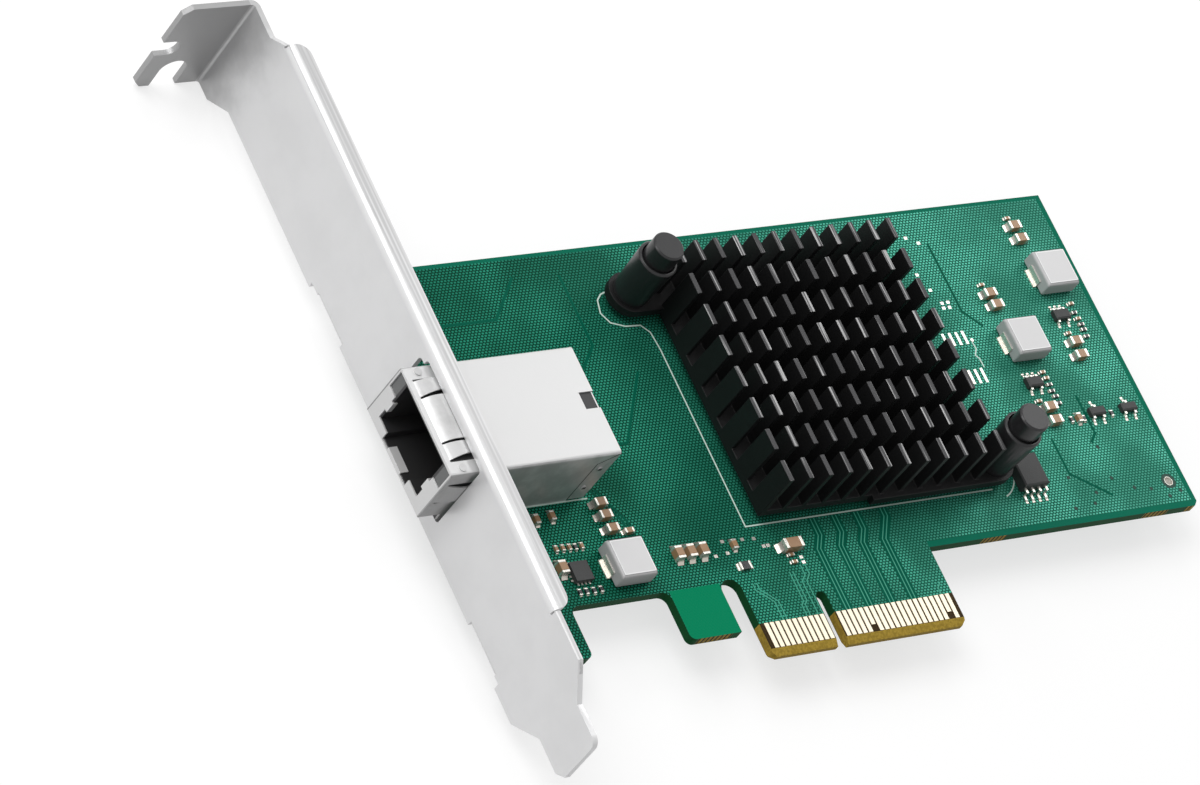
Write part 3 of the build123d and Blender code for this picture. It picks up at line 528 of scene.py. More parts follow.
class Look(Enum):
    """The card's finishes. A member's name gives its material's name."""

    GREEN_COATING = BoardCoating()
    BLACK_ANODISING = SawnFins()
    BRACKET_STEEL = PlatedSheet()
    SHIELD_STEEL = ShieldSheet()
    SCREW_STEEL = Finish((0.70, 0.70, 0.70), 0.25, 1.0)
    BLACK_MOULDING = Finish((0.020, 0.020, 0.021), 0.45, 0.0, 2500.0, 0.1)
    LIGHT_PIPE = Finish((0.10, 0.105, 0.105), 0.2, coat=0.3)
    CONTACT_GOLD = Finish((0.98, 0.87, 0.66), 0.3, 0.25, 2500.0, 0.1, 0.2)
    SOLDER = Finish((0.58, 0.54, 0.48), 0.25, 0.75, 1500.0, 0.6)
    GREY_PAD = Finish((0.45, 0.46, 0.48), 0.8)
    CHIP_MOULDING = Finish((0.034, 0.035, 0.035), 0.6, 0.0, 5000.0, 0.5)
    PIN_MOULDING = Finish((0.018, 0.018, 0.019), 0.34, 0.0, 1800.0, 0.2, coat=0.1, specular=0.3)
    SPRING_STEEL = Finish((0.6, 0.6, 0.6), 0.3, 1.0)
    INDUCTOR_FERRITE = Finish((0.50, 0.495, 0.50), 0.55, 0.1, 4200.0, 0.6, 0.3)
    INDUCTOR_TOP = Finish((0.74, 0.735, 0.74), 0.6, 0.0, 4200.0, 0.6, 0.3)
    # Painted highlight along each inductor's top edges.
    INDUCTOR_RIM_HIGHLIGHT = Finish((0.93, 0.93, 0.93), 0.4, 0.0, 3000.0, 0.1)
    CERAMIC_BODY = Finish((0.36, 0.21, 0.11), 0.36, 0.0, 3000.0, 0.2)
    RESISTOR_BODY = Finish((0.02, 0.02, 0.022), 0.35)
    BRIGHT_TIN = Finish((0.74, 0.71, 0.65), 0.26, 0.6, 1800.0, 0.4)
    WHITE_PRINT = Finish((0.62, 0.78, 0.70), 0.55)
    COPPER_TRACK = Finish((0.06, 0.36, 0.25), 0.36, 0.0, 3000.0, 0.1, specular=0.1)
    CLEAR_BAND = Finish((0.002, 0.1, 0.06), 0.46, 0.0, 3000.0, 0.1, specular=0.03)
    # A darker ring round the tooling hole; the vias share it.
    DARK_RING = Finish((0.004, 0.045, 0.030), 0.4, 0.0, 3000.0, 0.1, specular=0.2)

    @property
    def label(self) -> str:
        """Returns its material's name."""
        return self.name.lower().replace("_", " ")

    @property
    def material(self) -> bpy.types.Material:
        """Returns its material, once it is built."""
        return bpy.data.materials[self.label]


def build_finishes() -> None:
    """Builds the material of every finish."""
    for look in Look:
        look.value.dress(FinishKit(look.label, look.value.colour))


def link(name: str, data: bpy.types.ID) -> bpy.types.Object:
    """Makes an object of some data and adds it to the scene.

    Args:
        name: the object's name.
        data: its mesh, light or camera.

    Returns:
        The new object.
    """
    thing = bpy.data.objects.new(name, data)
    bpy.context.scene.collection.objects.link(thing)
    return thing


def filled(name: str, mesh: bmesh.types.BMesh, material: bpy.types.Material) -> bpy.types.Mesh:
    """Turns a bmesh, which is used up, into mesh data.

    Args:
        name: the data's name.
        mesh: the bmesh, in metres.
        material: its finish.

    Returns:
        The mesh data.
    """
    data = bpy.data.meshes.new(name)
    mesh.to_mesh(data)
    mesh.free()
    data.materials.append(material)
    return data


def stand(name: str, mesh: bmesh.types.BMesh, look: Look, smooth: float) -> bpy.types.Object:
    """Turns a mesh into a piece that moves with the card.

    Args:
        name: the piece's name.
        mesh: its mesh, in metres.
        look: its finish.
        smooth: angle in degrees under which faces shade smooth.

    Returns:
        The new piece.
    """
    data = filled(name, mesh, look.material)
    data.polygons.foreach_set("use_smooth", [True] * len(data.polygons))
    data.set_sharp_from_angle(angle=math.radians(smooth))
    piece = link(name, data)
    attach(piece, "root")
    LOG.info("made %s: %d faces", name, len(data.polygons))
    return piece


class Shape:
    """One mesh in the making, in millimetres in the card's frame."""

    def __init__(self, name: str) -> None:
        """Starts an empty mesh for the piece of that name."""
        self.name = name
        self.mesh = bmesh.new()

    def block(self, low: Sequence[float], high: Sequence[float]) -> None:
        """Adds a box.

        Args:
            low: its lowest corner.
            high: its highest corner.
        """
        made = bmesh.ops.create_cube(self.mesh, size=1.0)["verts"]
        size = [h - l for l, h in zip(low, high)]
        middle = Vector([(h + l) / 2 for l, h in zip(low, high)])
        place = Matrix.Translation(middle) @ Matrix.Diagonal((*size, 1.0))
        bmesh.ops.transform(self.mesh, matrix=place, verts=made)

    def disc(self, base: Spot, height: float, radius: float, segments: int = 12) -> None:
        """Adds a flat upright cylinder.

        Args:
            base: the middle of its underside.
            height: its height.
            radius: its radius.
            segments: sides of its circle.
        """
        made = bmesh.ops.create_cone(self.mesh, cap_ends=True, segments=segments, radius1=radius, radius2=radius,
                                     depth=height)["verts"]
        bmesh.ops.translate(self.mesh, verts=made, vec=(base[0], base[1], base[2] + height / 2))

    def ring(self, centre: Spot, inner: float, outer: float, height: float, segments: int = 32,
             start: float = 0.0, sweep: float = 360.0) -> None:
        """Adds a flat ring or part of one by spinning its section.

        Args:
            centre: the middle of its underside.
            inner: inner radius.
            outer: outer radius.
            height: its thickness.
            segments: steps round the sweep.
            start: angle of the first end, in degrees.
            sweep: angle it covers, in degrees.
        """
        made = bmesh.ops.create_grid(self.mesh, x_segments=1, y_segments=1, size=0.5)["verts"]
        middle = (inner + outer) / 2
        section = (Matrix.Translation(Vector(centre)) @ Matrix.Rotation(math.radians(start), 4, "Z")
                   @ Matrix.Translation(Vector((middle, 0.0, height / 2))) @ Matrix.Rotation(math.pi / 2, 4, "X")
                   @ Matrix.Diagonal((outer - inner, height, 1.0, 1.0)))
        bmesh.ops.transform(self.mesh, matrix=section, verts=made)
        faces = list({f for v in made for f in v.link_faces})
        edges = list({e for v in made for e in v.link_edges})
        bmesh.ops.spin(self.mesh, geom=made + edges + faces, cent=Vector(centre), axis=(0, 0, 1), dvec=(0, 0, 0),
                       angle=math.radians(sweep), steps=segments, use_merge=sweep >= 360.0, use_duplicate=False)

    def ribbon(self, path: Sequence[Point], width: float, low: float, high: float) -> None:
        """Adds a flat line along a path, with mitred joints.

        Args:
            path: its corners.
            width: the line's width.
            low: the height of its underside.
            high: the height of its top.
        """
        points = [Vector(point).to_3d() for point in path]
        rows = []
        for i, point in enumerate(points):
            into = (point - points[i - 1]).normalized() if i else None
            away = (points[i + 1] - point).normalized() if i + 1 < len(points) else None
            way = ((into or away) + (away or into)).normalized()
            reach = width / 2 / max(MITRE_LIMIT, way.dot(into or away))
            side = Vector((-way.y, way.x, 0.0)) * reach
            rows.append([self.mesh.verts.new((edge.x, edge.y, low)) for edge in (point - side, point + side)])
        strip = [self.mesh.faces.new((*row, *reversed(after))) for row, after in zip(rows, rows[1:])]
        self._thicken(strip, Vector((0.0, 0.0, high - low)))

    def wedge(self, foot: Sequence[float], out: Point, width: float, run: float, rise: float) -> None:
        """Adds a solder slope that falls away from the end of a part.

        Args:
            foot: where its top meets the part, at the board's level.
            out: the direction in which it falls away.
            width: its width along the part's end.
            run: how far it reaches.
            rise: its height at the part.
        """
        along, side = Vector((*out, 0.0)), Vector((-out[1], out[0], 0.0))
        start = Vector(foot) - side * width / 2
        section = ((0.0, 0.0), (run, 0.0), (run, SOLDER_LIP), *((a * run, h * rise) for a, h in SOLDER_BENDS),
                   (0.0, rise))
        corners = [self.mesh.verts.new(start + along * a + Vector((0.0, 0.0, h))) for a, h in section]
        self._thicken([self.mesh.faces.new(corners)], side * width)

    def _thicken(self, faces: list[bmesh.types.BMFace], way: Vector) -> None:
        """Draws flat faces out along a direction."""
        swept = bmesh.ops.extrude_face_region(self.mesh, geom=faces)["geom"]
        bmesh.ops.translate(self.mesh, vec=way, verts=[v for v in swept if isinstance(v, bmesh.types.BMVert)])

    def done(self, look: Look, slot: Slot, smooth: float = 30.0) -> None:
        """Turns the mesh into a piece.

        Args:
            look: its finish.
            slot: the record's material slot that it belongs to; not used.
            smooth: angle in degrees under which faces shade smooth.
        """
        bmesh.ops.recalc_face_normals(self.mesh, faces=self.mesh.faces)
        bmesh.ops.scale(self.mesh, vec=(MM, MM, MM), verts=self.mesh.verts)
        stand(self.name, self.mesh, look, smooth)


class CardPart:
    """Shared work of every sub-assembly: giving CAD nodes a finish or a copy with eased edges."""

    def coat(self, look: Look, *nodes: str) -> None:
        """Gives CAD nodes a finish.

        Args:
            look: the finish.
            nodes: the nodes that get it.
        """
        for name in nodes:
            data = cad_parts[name].data
            data.materials.clear()
            data.materials.append(look.material)
            LOG.info("finished %s with %s", name, look.label)

    def soften(self, node: str, look: Look, slot: Slot, width: float, segments: int = 2, angle: float = 35.0,
               smooth: float = 30.0, reshape: Optional[Callable[[bmesh.types.BMesh], None]] = None) -> None:
        """Stands a copy with eased edges in the place of a CAD node.

        Args:
            node: the CAD node.
            look: its finish.
            slot: the record's material slot; not used.
            width: width of the eased edge, in millimetres.
            segments: steps across it.
            angle: edges sharper than this, in degrees, are eased.
            smooth: angle in degrees under which faces shade smooth.
            reshape: a last change to the merged copy, if it needs one.
        """
        mesh = self.merged(node)
        bmesh.ops.dissolve_limit(mesh, angle_limit=math.radians(FLAT_ANGLE), verts=mesh.verts, edges=mesh.edges,
                                 delimit={"NORMAL"})
        if reshape is not None:
            reshape(mesh)
        piece = stand(f"{node}_eased", mesh, look, smooth)
        ease = piece.modifiers.new("eased edges", "BEVEL")
        ease.width = width * MM
        ease.segments = segments
        ease.limit_method = "ANGLE"
        ease.angle_limit = math.radians(angle)
        ease.harden_normals = True
        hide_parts(node)

    @staticmethod
    def merged(node: str) -> bmesh.types.BMesh:
        """Copies a CAD node's mesh and merges its triangles.

        Args:
            node: the CAD node.

        Returns:
            The copy, in metres.
        """
        mesh = bmesh.new()
        mesh.from_mesh(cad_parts[node].data)
        bmesh.ops.remove_doubles(mesh, verts=mesh.verts, dist=MERGE_GAP)
        return mesh

    def boxes(self, node: str) -> list[tuple[Vector, Vector]]:
        """Finds where the separate solids of a CAD node lie.

        Args:
            node: the CAD node.

        Returns:
            The lowest and highest corner of each solid, in millimetres.
        """
        mesh = self.merged(node)
        waiting = set(mesh.verts)
        found = []
        while waiting:
            reached = [waiting.pop()]
            for vert in reached:
                linked = {edge.other_vert(vert) for edge in vert.link_edges} & waiting
                waiting -= linked
                reached.extend(linked)
            places = list(zip(*(vert.co / MM for vert in reached)))
            found.append((Vector([min(axis) for axis in places]), Vector([max(axis) for axis in places])))
        mesh.free()
        return found


@dataclass
class CircuitBoard(CardPart):
    """The green board with its printed lines, tracks, pads and gold contacts, in millimetres."""

    face: float = BOARD_FACE
    print_high: float = 0.03
    line: float = 0.22
    sink_line: tuple[Point, ...] = (
        (38.75, 20.35), (-7.1, 20.35), (-6.9, 50.0), (-7.18, 52.97), (-8.3, 54.29), (-10.92, 54.43), (-13.17, 55.29),
        (-14.08, 57.01), (-13.53, 59.16), (-12.53, 60.06), (-11.27, 60.43))
    jack_line: tuple[Point, ...] = ((-53.0, 28.3), (-31.85, 28.3), (-31.0, 28.3))
    chip_line: tuple[Point, ...] = ((48.53, 44.65), (48.66, 43.47), (47.9, 42.39), (48.36, 41.76), (48.4, 40.28))
    far_pin: Point = (39.0, 23.6)
    pin_line: float = 5.0
    pin_steps: int = 24
    pin_arc: Point = (-70.0, 140.0)
    finger_top: float = 5.16
    lanes: tuple[Point, ...] = ((3.5, 1.3), (7.5, 1.3), (11.5, 1.3), (15.5, 2.2))  # place and sideways jog
    lane_top: float = 15.2
    lane_lean: float = 1.6
    lane_end: float = 20.1
    lane_gap: float = 0.32
    band: float = 1.7
    track: float = 0.16
    track_high: float = 0.024
    riser_foot: float = 5.2
    risers: tuple[Four, ...] = (  # place, knee, lean and top
        (-8.3, 8.2, -2.2, 11.5), (-7.6, 8.2, -2.2, 11.5), (-4.0, 7.0, 0.6, 12.4), (-3.4, 7.0, 0.6, 12.4),
        (-2.0, 10.6, 1.0, 13.2), (-1.2, 10.6, 1.0, 13.2), (20.6, 6.3, 0.8, 7.1))
    faint_band: float = 0.45
    faint_bands: tuple[tuple[Point, Point, Point], ...] = (
        ((-26.0, 44.0), (-18.0, 52.0), (-18.0, 64.0)), ((-27.0, 36.0), (-20.0, 36.0), (-12.5, 47.0)),
        ((-30.0, 29.5), (-27.0, 24.0), (-27.0, 18.0)), ((-29.3, 29.5), (-26.3, 24.0), (-26.3, 18.0)),
        ((-46.0, 58.0), (-32.0, 58.0), (-26.0, 64.5)), ((62.5, 33.5), (62.5, 27.0), (61.0, 25.5)),
        ((54.0, 27.0), (54.0, 21.0), (60.0, 16.5)), ((49.5, 62.0), (49.5, 50.0), (52.0, 47.0)))
    hole: Spot = (71.5, 17.4, 0.75)  # middle and radius
    hole_wall: Point = (0.06, 0.01)  # how far the wall's two faces lie inside the hole
    ring_r: float = 1.25
    ring_gap: float = 0.02
    via_r: float = 0.32
    vias: tuple[Point, ...] = (
        (53.5, 20.4), (57.2, 17.3), (61.3, 19.3), (64.6, 17.2), (67.6, 16.6), (52.0, 15.3), (56.0, 15.6),
        (61.7, 24.6), (70.4, 15.0), (72.9, 15.6))
    long_half: float = 0.24
    long_pads: tuple[Spot, ...] = (  # place and both ends
        (43.8, 44.4, 46.6), (45.1, 44.4, 46.6), (46.37, 44.4, 46.6), (47.64, 44.4, 46.7),
        (43.9, 37.7, 40.1), (45.2, 37.7, 40.1), (46.43, 37.7, 40.1), (47.66, 37.7, 40.2))
    small_half: Point = (0.3, 0.25)
    small_pads: tuple[Point, ...] = (
        (46.65, 51.68), (47.8, 51.73), (46.5, 50.85), (47.64, 50.86), (-8.69, 18.46), (-6.68, 18.33),
        (-5.61, 16.94), (-4.84, 16.96), (-0.2, 14.37), (-0.19, 13.54), (-12.2, 18.6), (-12.2, 16.7),
        (-14.4, 16.5), (-16.4, 16.5), (46.0, 63.3), (47.9, 62.2), (45.7, 54.1), (44.7, 56.9))
    round_pad: Point = (48.71, 44.98)
    round_r: float = 0.3

    def build(self) -> None:
        """Dresses the board and adds what is printed and plated on it."""
        self.coat(Look.GREEN_COATING, "circuit_board")
        self.coat(Look.CONTACT_GOLD, "edge_contacts_front", "edge_contacts_back")
        self._outline()
        self._tracks()
        self._pads()
        self._hole_ring()

    def _draw(self, shape: Shape, path: Sequence[Point], width: float, high: float) -> None:
        """Lays a line of that width and height along a path on the board's face."""
        shape.ribbon(path, width, self.face, self.face + high)

    def _outline(self) -> None:
        """Prints the white lines round the heatsink's place, the jack and a bare chip place."""
        shape = Shape("printed_outline")
        for path in (self.sink_line, self.jack_line, self.chip_line):
            self._draw(shape, path, self.line, self.print_high)
        shape.ring((*self.far_pin, self.face), self.pin_line - self.line / 2, self.pin_line + self.line / 2,
                   self.print_high, self.pin_steps, *self.pin_arc)
        shape.done(Look.WHITE_PRINT, Slot.MASK_GREEN)

    def _tracks(self) -> None:
        """Draws the copper tracks that rise from the gold contacts, and the bands that are clear of mesh."""
        bands, tracks = Shape("clear_bands"), Shape("copper_tracks")
        for x, jog in self.lanes:
            for shape, off, width, high in ((bands, 0.0, self.band, self.track_high / 2),
                                            (tracks, -self.lane_gap, self.track, self.track_high),
                                            (tracks, self.lane_gap, self.track, self.track_high)):
                foot, head = x + off, x + off + jog
                path = [(foot, self.finger_top), (foot, self.lane_top), (head, self.lane_top + self.lane_lean * jog),
                        (head, self.lane_end)]
                self._draw(shape, path, width, high)
        for x, knee, lean, top in self.risers:
            self._draw(tracks, [(x, self.riser_foot), (x, knee), (x + lean, knee + abs(lean)), (x + lean, top)],
                       self.track, self.track_high)
        for path in self.faint_bands:
            self._draw(bands, path, self.faint_band, self.track_high / 2)
        bands.done(Look.CLEAR_BAND, Slot.MASK_GREEN)
        tracks.done(Look.COPPER_TRACK, Slot.MASK_GREEN)

    def _pads(self) -> None:
        """Adds the tinned pads that carry no part."""
        shape = Shape("bare_pads")
        top = self.face + self.print_high
        across, along = self.small_half
        for x, y in self.small_pads:
            shape.block((x - across, y - along, self.face), (x + across, y + along, top))
        for x, low, high in self.long_pads:
            shape.block((x - self.long_half, low, self.face), (x + self.long_half, high, top))
        shape.disc((*self.round_pad, self.face), self.print_high, self.round_r)
        shape.done(Look.BRIGHT_TIN, Slot.LEAD_TIN)

    def _hole_ring(self) -> None:
        """Adds the dark ring round the tooling hole, the small vias near it and the hole's tinned wall."""
        x, y, r = self.hole
        ring, wall = Shape("tooling_hole_ring"), Shape("tooling_hole_wall")
        ring.ring((x, y, self.face), r + self.ring_gap, self.ring_r, self.print_high / 2)
        for place in self.vias:
            ring.disc((*place, self.face), self.print_high / 2, self.via_r)
        ring.done(Look.DARK_RING, Slot.MASK_GREEN)
        wall.ring((x, y, -self.face), *(r - off for off in self.hole_wall), 2 * self.face)
        wall.done(Look.BRIGHT_TIN, Slot.MASK_GREEN)


@dataclass
class Bracket(CardPart):
    """The folded steel bracket and its screws."""

    edge: float = 0.10

    def build(self) -> None:
        """Dresses the bracket and its screws."""
        self.soften("bracket", Look.BRACKET_STEEL, Slot.BRACKET_STEEL, self.edge)
        self.coat(Look.SCREW_STEEL, "bracket_screws")


@dataclass
class NetworkJack(CardPart):
    """The shielded jack, in millimetres."""

    shield_edge: float = 0.05
    cover_edge: float = 0.10
    sheet_angle: float = 50.0
    shield_smooth: float = 14.0
    cover_smooth: float = 20.0
    roof: float = 12.62
    sides: Point = (28.4, 45.9)
    spring_run: Point = (-59.95, -54.65)
    spring_edges: Point = (30.85, 40.95)
    spring_deep: float = 0.4
    spring_taper: float = 0.55
    taper_speed: float = 1.6
    side_springs: tuple[Point, ...] = ((5.8, 0.4), (9.9, -0.35))  # height of an edge and how far it moves
    # The seam and the pressed marks below are painted shade, laid as thin dark pieces on the cover.
    seam: tuple[Point, ...] = ((-34.73, 1.3), (-34.73, 10.2), (-32.0, 12.25))
    seam_wide: float = 0.16
    seam_run: Point = (-0.015, 0.03)  # how far it stands out and how deep it lies
    mark_x: float = -33.6
    mark_zs: Point = (4.1, 8.9)
    mark_half: Point = (0.3, 0.24)
    mark_run: Point = (0.1, 0.21)  # how far out from the side its ends lie

    def build(self) -> None:
        """Dresses the shield, the mouldings and the metal inside."""
        self.soften("jack_shield", Look.SHIELD_STEEL, Slot.SHIELD_STEEL, self.shield_edge, 1, self.sheet_angle,
                    self.shield_smooth, self._narrow_springs)
        self.soften("jack_rear_cover", Look.SHIELD_STEEL, Slot.SHIELD_STEEL, self.cover_edge, 1, self.sheet_angle,
                    self.cover_smooth)
        self.coat(Look.BLACK_MOULDING, "jack_housing", "jack_magnetics")
        self.coat(Look.LIGHT_PIPE, "jack_light_pipes")
        self.coat(Look.CONTACT_GOLD, "jack_contacts")
        self.coat(Look.SOLDER, "jack_pins", "jack_solder")
        self._cover_seam_shadows()

    def _cover_seam_shadows(self) -> None:
        """Puts thin dark pieces as painted shade along the seam of each flap of the rear cover and in the pressed
        marks that hold the flap.
        """
        # Painted shade along the flap seam and in the pressed marks.
        seam_shadows, marks = Shape("cover_seam_shadows"), Shape("cover_mark_shadows")
        across, up = self.mark_half
        for side, out in zip(self.sides, (-1.0, 1.0)):
            seam_shadows.ribbon(self.seam, self.seam_wide, *sorted(-side + off * out for off in self.seam_run))
            low, high = sorted(side + off * out for off in self.mark_run)
            for z in self.mark_zs:
                marks.block((self.mark_x - across, low, z - up), (self.mark_x + across, high, z + up))
        bmesh.ops.rotate(seam_shadows.mesh, verts=seam_shadows.mesh.verts, cent=(0.0, 0.0, 0.0),
                         matrix=Matrix.Rotation(math.pi / 2, 3, "X"))
        for shape in (seam_shadows, marks):
            shape.done(Look.BLACK_MOULDING, Slot.HOUSING_BLACK)

    def _narrow_springs(self, mesh: bmesh.types.BMesh) -> None:
        """Tapers the bowed springs, so that their slots open towards the bracket.

        Args:
            mesh: the shield's merged copy, in metres.
        """
        front, back = self.spring_run
        near = 0.01
        for vert in mesh.verts:
            x, y, z = vert.co / MM
            if not front - near <= x <= back + near:
                continue
            share = min(1.0, self.taper_speed * (x - front) / (back - front))
            if z > self.roof - self.spring_deep and min(abs(y - edge) for edge in self.spring_edges) < near:
                vert.co.y += self.spring_taper * share * MM
            if y < self.sides[0] + self.spring_deep:
                vert.co.z += dict(self.side_springs).get(round(z, 1), 0.0) * share * MM


@dataclass
class Cooler(CardPart):
    """The heatsink, what lies under it and the pins that hold it."""

    sink_edge: float = 0.10
    pin_edge: float = 0.08

    def build(self) -> None:
        """Dresses the heatsink, its pins and the chip."""
        self.soften("heatsink", Look.BLACK_ANODISING, Slot.ANODISED_BLACK, self.sink_edge)
        for node in ("push_pins", "push_pin_sleeves"):
            self.soften(node, Look.PIN_MOULDING, Slot.PIN_BLACK, self.pin_edge)
        self.coat(Look.SPRING_STEEL, "push_pin_springs")
        self.coat(Look.CHIP_MOULDING, "controller_chip")
        self.coat(Look.GREY_PAD, "thermal_pad")


@dataclass
class SurfaceParts(CardPart):
    """Inductors, chips, capacitors and resistors with their solder, in millimetres."""

    face: float = BOARD_FACE
    inductor_edge: float = 0.45
    inductor_steps: int = 3
    body_edge: float = 0.05
    end_edge: float = 0.06
    # The rim values place a painted highlight round each inductor's top.
    rim_inset: float = 0.42
    rim_wide: float = 0.14
    top_deep: float = 0.03
    top_proud: float = 0.006
    rim_proud: float = 0.012
    leaded: tuple[str, ...] = ("memory_chip", "regulator", "transistor")
    slopes: tuple[tuple[str, float], ...] = (  # how far the solder runs out
        ("large_capacitor", 0.8), ("wide_capacitor", 0.5), ("medium_capacitor", 0.6), ("small_capacitor", 0.35),
        ("tiny_capacitor", 0.2), ("resistor", 0.35), ("small_resistor", 0.14), ("memory_chip", 0.5),
        ("regulator", 0.5), ("transistor", 0.6))
    slope_share: Point = (0.86, 0.62)  # of the end's width and height
    lead_rise: float = 0.14
    lead_wider: float = 0.12
    solder_smooth: float = 60.0
    pad_count: int = 4
    pad_pitch: float = 0.65
    pad_half: float = 0.15
    pad_long: float = 0.35
    pad_high: float = 0.08

    def build(self) -> None:
        """Dresses the small parts."""
        self.soften("inductor_bodies", Look.INDUCTOR_FERRITE, Slot.INDUCTOR_GREY, self.inductor_edge,
                    self.inductor_steps)
        self.coat(Look.BRIGHT_TIN, "inductor_terminals", *(f"{part}_leads" for part in self.leaded))
        self.coat(Look.CHIP_MOULDING, "switching_regulator", *(f"{part}_bodies" for part in self.leaded))
        for size in ("large", "wide", "medium", "small", "tiny"):
            self.soften(f"{size}_capacitor_bodies", Look.CERAMIC_BODY, Slot.CAPACITOR_TAN, self.body_edge)
            self.soften(f"{size}_capacitor_ends", Look.BRIGHT_TIN, Slot.LEAD_TIN, self.end_edge)
        for size in ("resistor", "small_resistor"):
            self.coat(Look.RESISTOR_BODY, f"{size}_bodies")
            self.soften(f"{size}_ends", Look.BRIGHT_TIN, Slot.LEAD_TIN, self.body_edge)
        self._solder()
        self._edge_pads()
        self._top_and_rim_highlights()

    def _top_and_rim_highlights(self) -> None:
        """Adds a pale top to each inductor and the thin rim of painted highlight that runs round it."""
        rims, tops = Shape("inductor_rim_highlights"), Shape("inductor_tops")
        for low, high in self.boxes("inductor_bodies"):
            left, front = low.x + self.rim_inset, low.y + self.rim_inset
            right, back = high.x - self.rim_inset, high.y - self.rim_inset
            bottom = high.z - self.top_deep
            tops.block((left, front, bottom), (right, back, high.z + self.top_proud))
            # Painted highlight: a thin pale rim round the top.
            rims.ribbon([(right, front), (right, back), (left, back), (left, front), (right, front)], self.rim_wide,
                        bottom, high.z + self.rim_proud)
        tops.done(Look.INDUCTOR_TOP, Slot.INDUCTOR_GREY)
        rims.done(Look.INDUCTOR_RIM_HIGHLIGHT, Slot.INDUCTOR_GREY)

    def _solder(self) -> None:
        """Adds the solder slopes at the ends of the small parts and the feet of the leads."""
        wide_share, rise_share = self.slope_share
        for part, run in self.slopes:
            leaded = part in self.leaded
            bodies = self.boxes(f"{part}_bodies")
            shape = Shape(f"{part}_solder")
            for low, high in self.boxes(f"{part}_leads" if leaded else f"{part}_ends"):
                middle = (low + high) / 2
                nearest = min(bodies, key=lambda box: ((box[0] + box[1]) / 2 - middle).length)
                way = middle - (nearest[0] + nearest[1]) / 2
                reach = way - Vector([max(-h, min(h, w)) for w, h in zip(way, (nearest[1] - nearest[0]) / 2)])
                axis = 0 if abs(reach.x) > abs(reach.y) and not leaded else 1
                sign = 1.0 if way[axis] > 0 else -1.0
                out = (sign, 0.0) if axis == 0 else (0.0, sign)
                foot = [middle.x, middle.y, self.face]
                foot[axis] = high[axis] if sign > 0 else low[axis]
                width = (high - low)[1 - axis] * wide_share + self.lead_wider * leaded
                shape.wedge(foot, out, width, run, self.lead_rise if leaded else (high.z - low.z) * rise_share)
            shape.done(Look.SOLDER, Slot.LEAD_TIN, self.solder_smooth)

    def _edge_pads(self) -> None:
        """Adds the pads that show round the flat chip without leads."""
        low, high = self.boxes("switching_regulator")[0]
        shape = Shape("chip_edge_pads")
        half, long = self.pad_half, self.pad_long
        for i in range(self.pad_count):
            at = (i - (self.pad_count - 1) / 2) * self.pad_pitch
            x, y = (low.x + high.x) / 2 + at, (low.y + high.y) / 2 + at
            across, along = (x - half, x + half), (y - half, y + half)
            for (left, right), (front, back) in ((across, (low.y - long, low.y)), (across, (high.y, high.y + long)),
                                                 ((low.x - long, low.x), along), ((high.x, high.x + long), along)):
                shape.block((left, front, self.face), (right, back, self.face + self.pad_high))
        shape.done(Look.BRIGHT_TIN, Slot.LEAD_TIN)


@dataclass(frozen=True)
class Lamp:
    """One soft studio lamp: where it stands, its size and its power."""

    name: str
    place: Spot
    size: float
    power: float


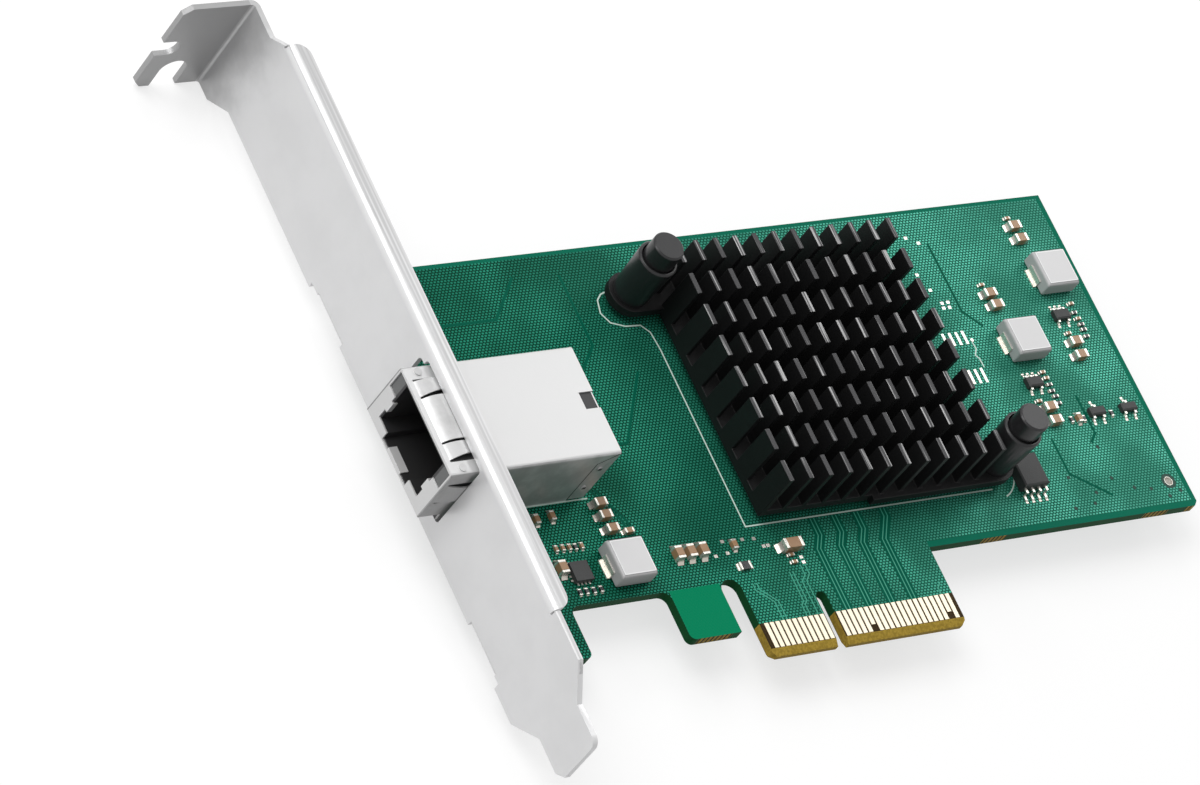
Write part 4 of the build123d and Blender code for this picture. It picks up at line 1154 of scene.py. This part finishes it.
@dataclass
class Studio:
    """Pale floor, soft light and the camera, all outside the object, in metres."""

    floor_z: float = -0.0064
    floor_size: float = 6.0
    floor_grey: float = 0.45
    floor_shade: float = 0.35
    floor_roughness: float = 0.9
    level: float = 0.90
    glow: Point = (0.12, 0.62)  # the world's light on the dark and on the bright side
    glow_run: Point = (-0.3, 0.7)
    bright_side: Spot = (-0.76, 0.28, 0.59)
    lamps: tuple[Lamp, ...] = (Lamp("key lamp", (-0.60, 0.50, 1.00), 0.8, 7.5),
                               Lamp("back lamp", (0.05, 1.00, 0.90), 0.6, 2.0),
                               Lamp("side lamp", (0.78, 0.35, 0.57), 0.42, 1.3))
    aim: Spot = (0.01, 0.045, 0.0)
    camera_place: Spot = (-0.5617, -0.2924, 0.6251)
    right: Spot = (0.7882, -0.4011, 0.4668)
    up: Spot = (0.1045, 0.8346, 0.5409)
    lens: float = 191.8
    sensor: float = 36.0
    clip: Point = (0.01, 20.0)

    def build(self) -> None:
        """Sets up floor, world, lamps and camera."""
        self._floor()
        self._world()
        for lamp in self.lamps:
            self._lamp(lamp)
        self._camera()
        bpy.context.scene.view_settings.view_transform = "Standard"

    def _floor(self) -> None:
        """Lays the pale floor just under the card. It looks white where it is seen or mirrored."""
        mesh = bmesh.new()
        bmesh.ops.create_grid(mesh, x_segments=1, y_segments=1, size=self.floor_size / 2)
        bmesh.ops.translate(mesh, verts=mesh.verts, vec=(0, 0, self.floor_z))
        grey, shade = (self.floor_grey,) * 3, (self.floor_shade,) * 3
        kit = FinishKit("floor white", grey)
        rays = kit.add("ShaderNodeLightPath").outputs
        seen = rays["Is Camera Ray"]
        mirrored = kit.math("MAXIMUM", rays["Is Glossy Ray"], rays["Is Transmission Ray"])
        lift = kit.math("ADD", kit.times(seen, 1.0 - self.floor_shade * self.level),
                        kit.times(mirrored, 1.0 - self.floor_grey * self.level))
        kit.dress(Base_Color=kit.mix(seen, grey, shade), Roughness=self.floor_roughness, Specular_IOR_Level=0.0,
                  Emission_Color=lift, Emission_Strength=1.0)
        floor = link("floor", filled("floor", mesh, kit.material))

    def _world(self) -> None:
        """Lights the scene softly from all round, and looks white where it is seen or mirrored."""
        world = bpy.data.worlds.new("studio")
        world.use_nodes = True
        bpy.context.scene.world = world
        kit = NodeKit(world.node_tree)
        rays = kit.add("ShaderNodeLightPath").outputs
        way = kit.add("ShaderNodeTexCoord").outputs["Generated"]
        side = kit.add("ShaderNodeVectorMath", way, self.bright_side, operation="DOT_PRODUCT").outputs["Value"]
        low, high = self.glow
        glow = kit.math("MULTIPLY_ADD", kit.ramp(side, *self.glow_run), high - low, low)
        for ray in ("Is Camera Ray", "Is Glossy Ray", "Is Transmission Ray"):
            glow = kit.math("MAXIMUM", rays[ray], glow)
        for socket, value in zip(world.node_tree.nodes["Background"].inputs, ((1.0, 1.0, 1.0), glow)):
            kit.feed(socket, value)

    def _lamp(self, lamp: Lamp) -> None:
        """Adds one soft lamp that points at the card.

        Args:
            lamp: its place, size and power.
        """
        light = bpy.data.lights.new(lamp.name, "AREA")
        light.shape = "DISK"
        light.size = lamp.size
        light.energy = lamp.power
        thing = link(lamp.name, light)
        thing.location = lamp.place
        thing.rotation_euler = (Vector(self.aim) - Vector(lamp.place)).to_track_quat("-Z", "Y").to_euler()

    def _camera(self) -> None:
        """Stands the camera where the photograph was taken from."""
        right, up = Vector(self.right).normalized(), Vector(self.up).normalized()
        back = right.cross(up).normalized()
        turn = Matrix((right, back.cross(right), back)).transposed().to_4x4()
        data = bpy.data.cameras.new("camera")
        data.lens = self.lens
        data.sensor_width = self.sensor
        data.sensor_fit = "HORIZONTAL"
        data.clip_start, data.clip_end = self.clip
        camera = link("camera", data)
        camera.matrix_world = Matrix.Translation(Vector(self.camera_place)) @ turn
        bpy.context.scene.camera = camera


def main() -> None:
    """Builds and dresses the card, part by part."""
    logging.basicConfig(level=logging.INFO, format="%(message)s")
    EffectBuilder().build()
    build_finishes()
    for part in (CircuitBoard, Bracket, NetworkJack, Cooler, SurfaceParts):
        LOG.info("building %s", part.__name__)
        part().build()
    Studio().build()


if __name__ == "__main__":
    main()
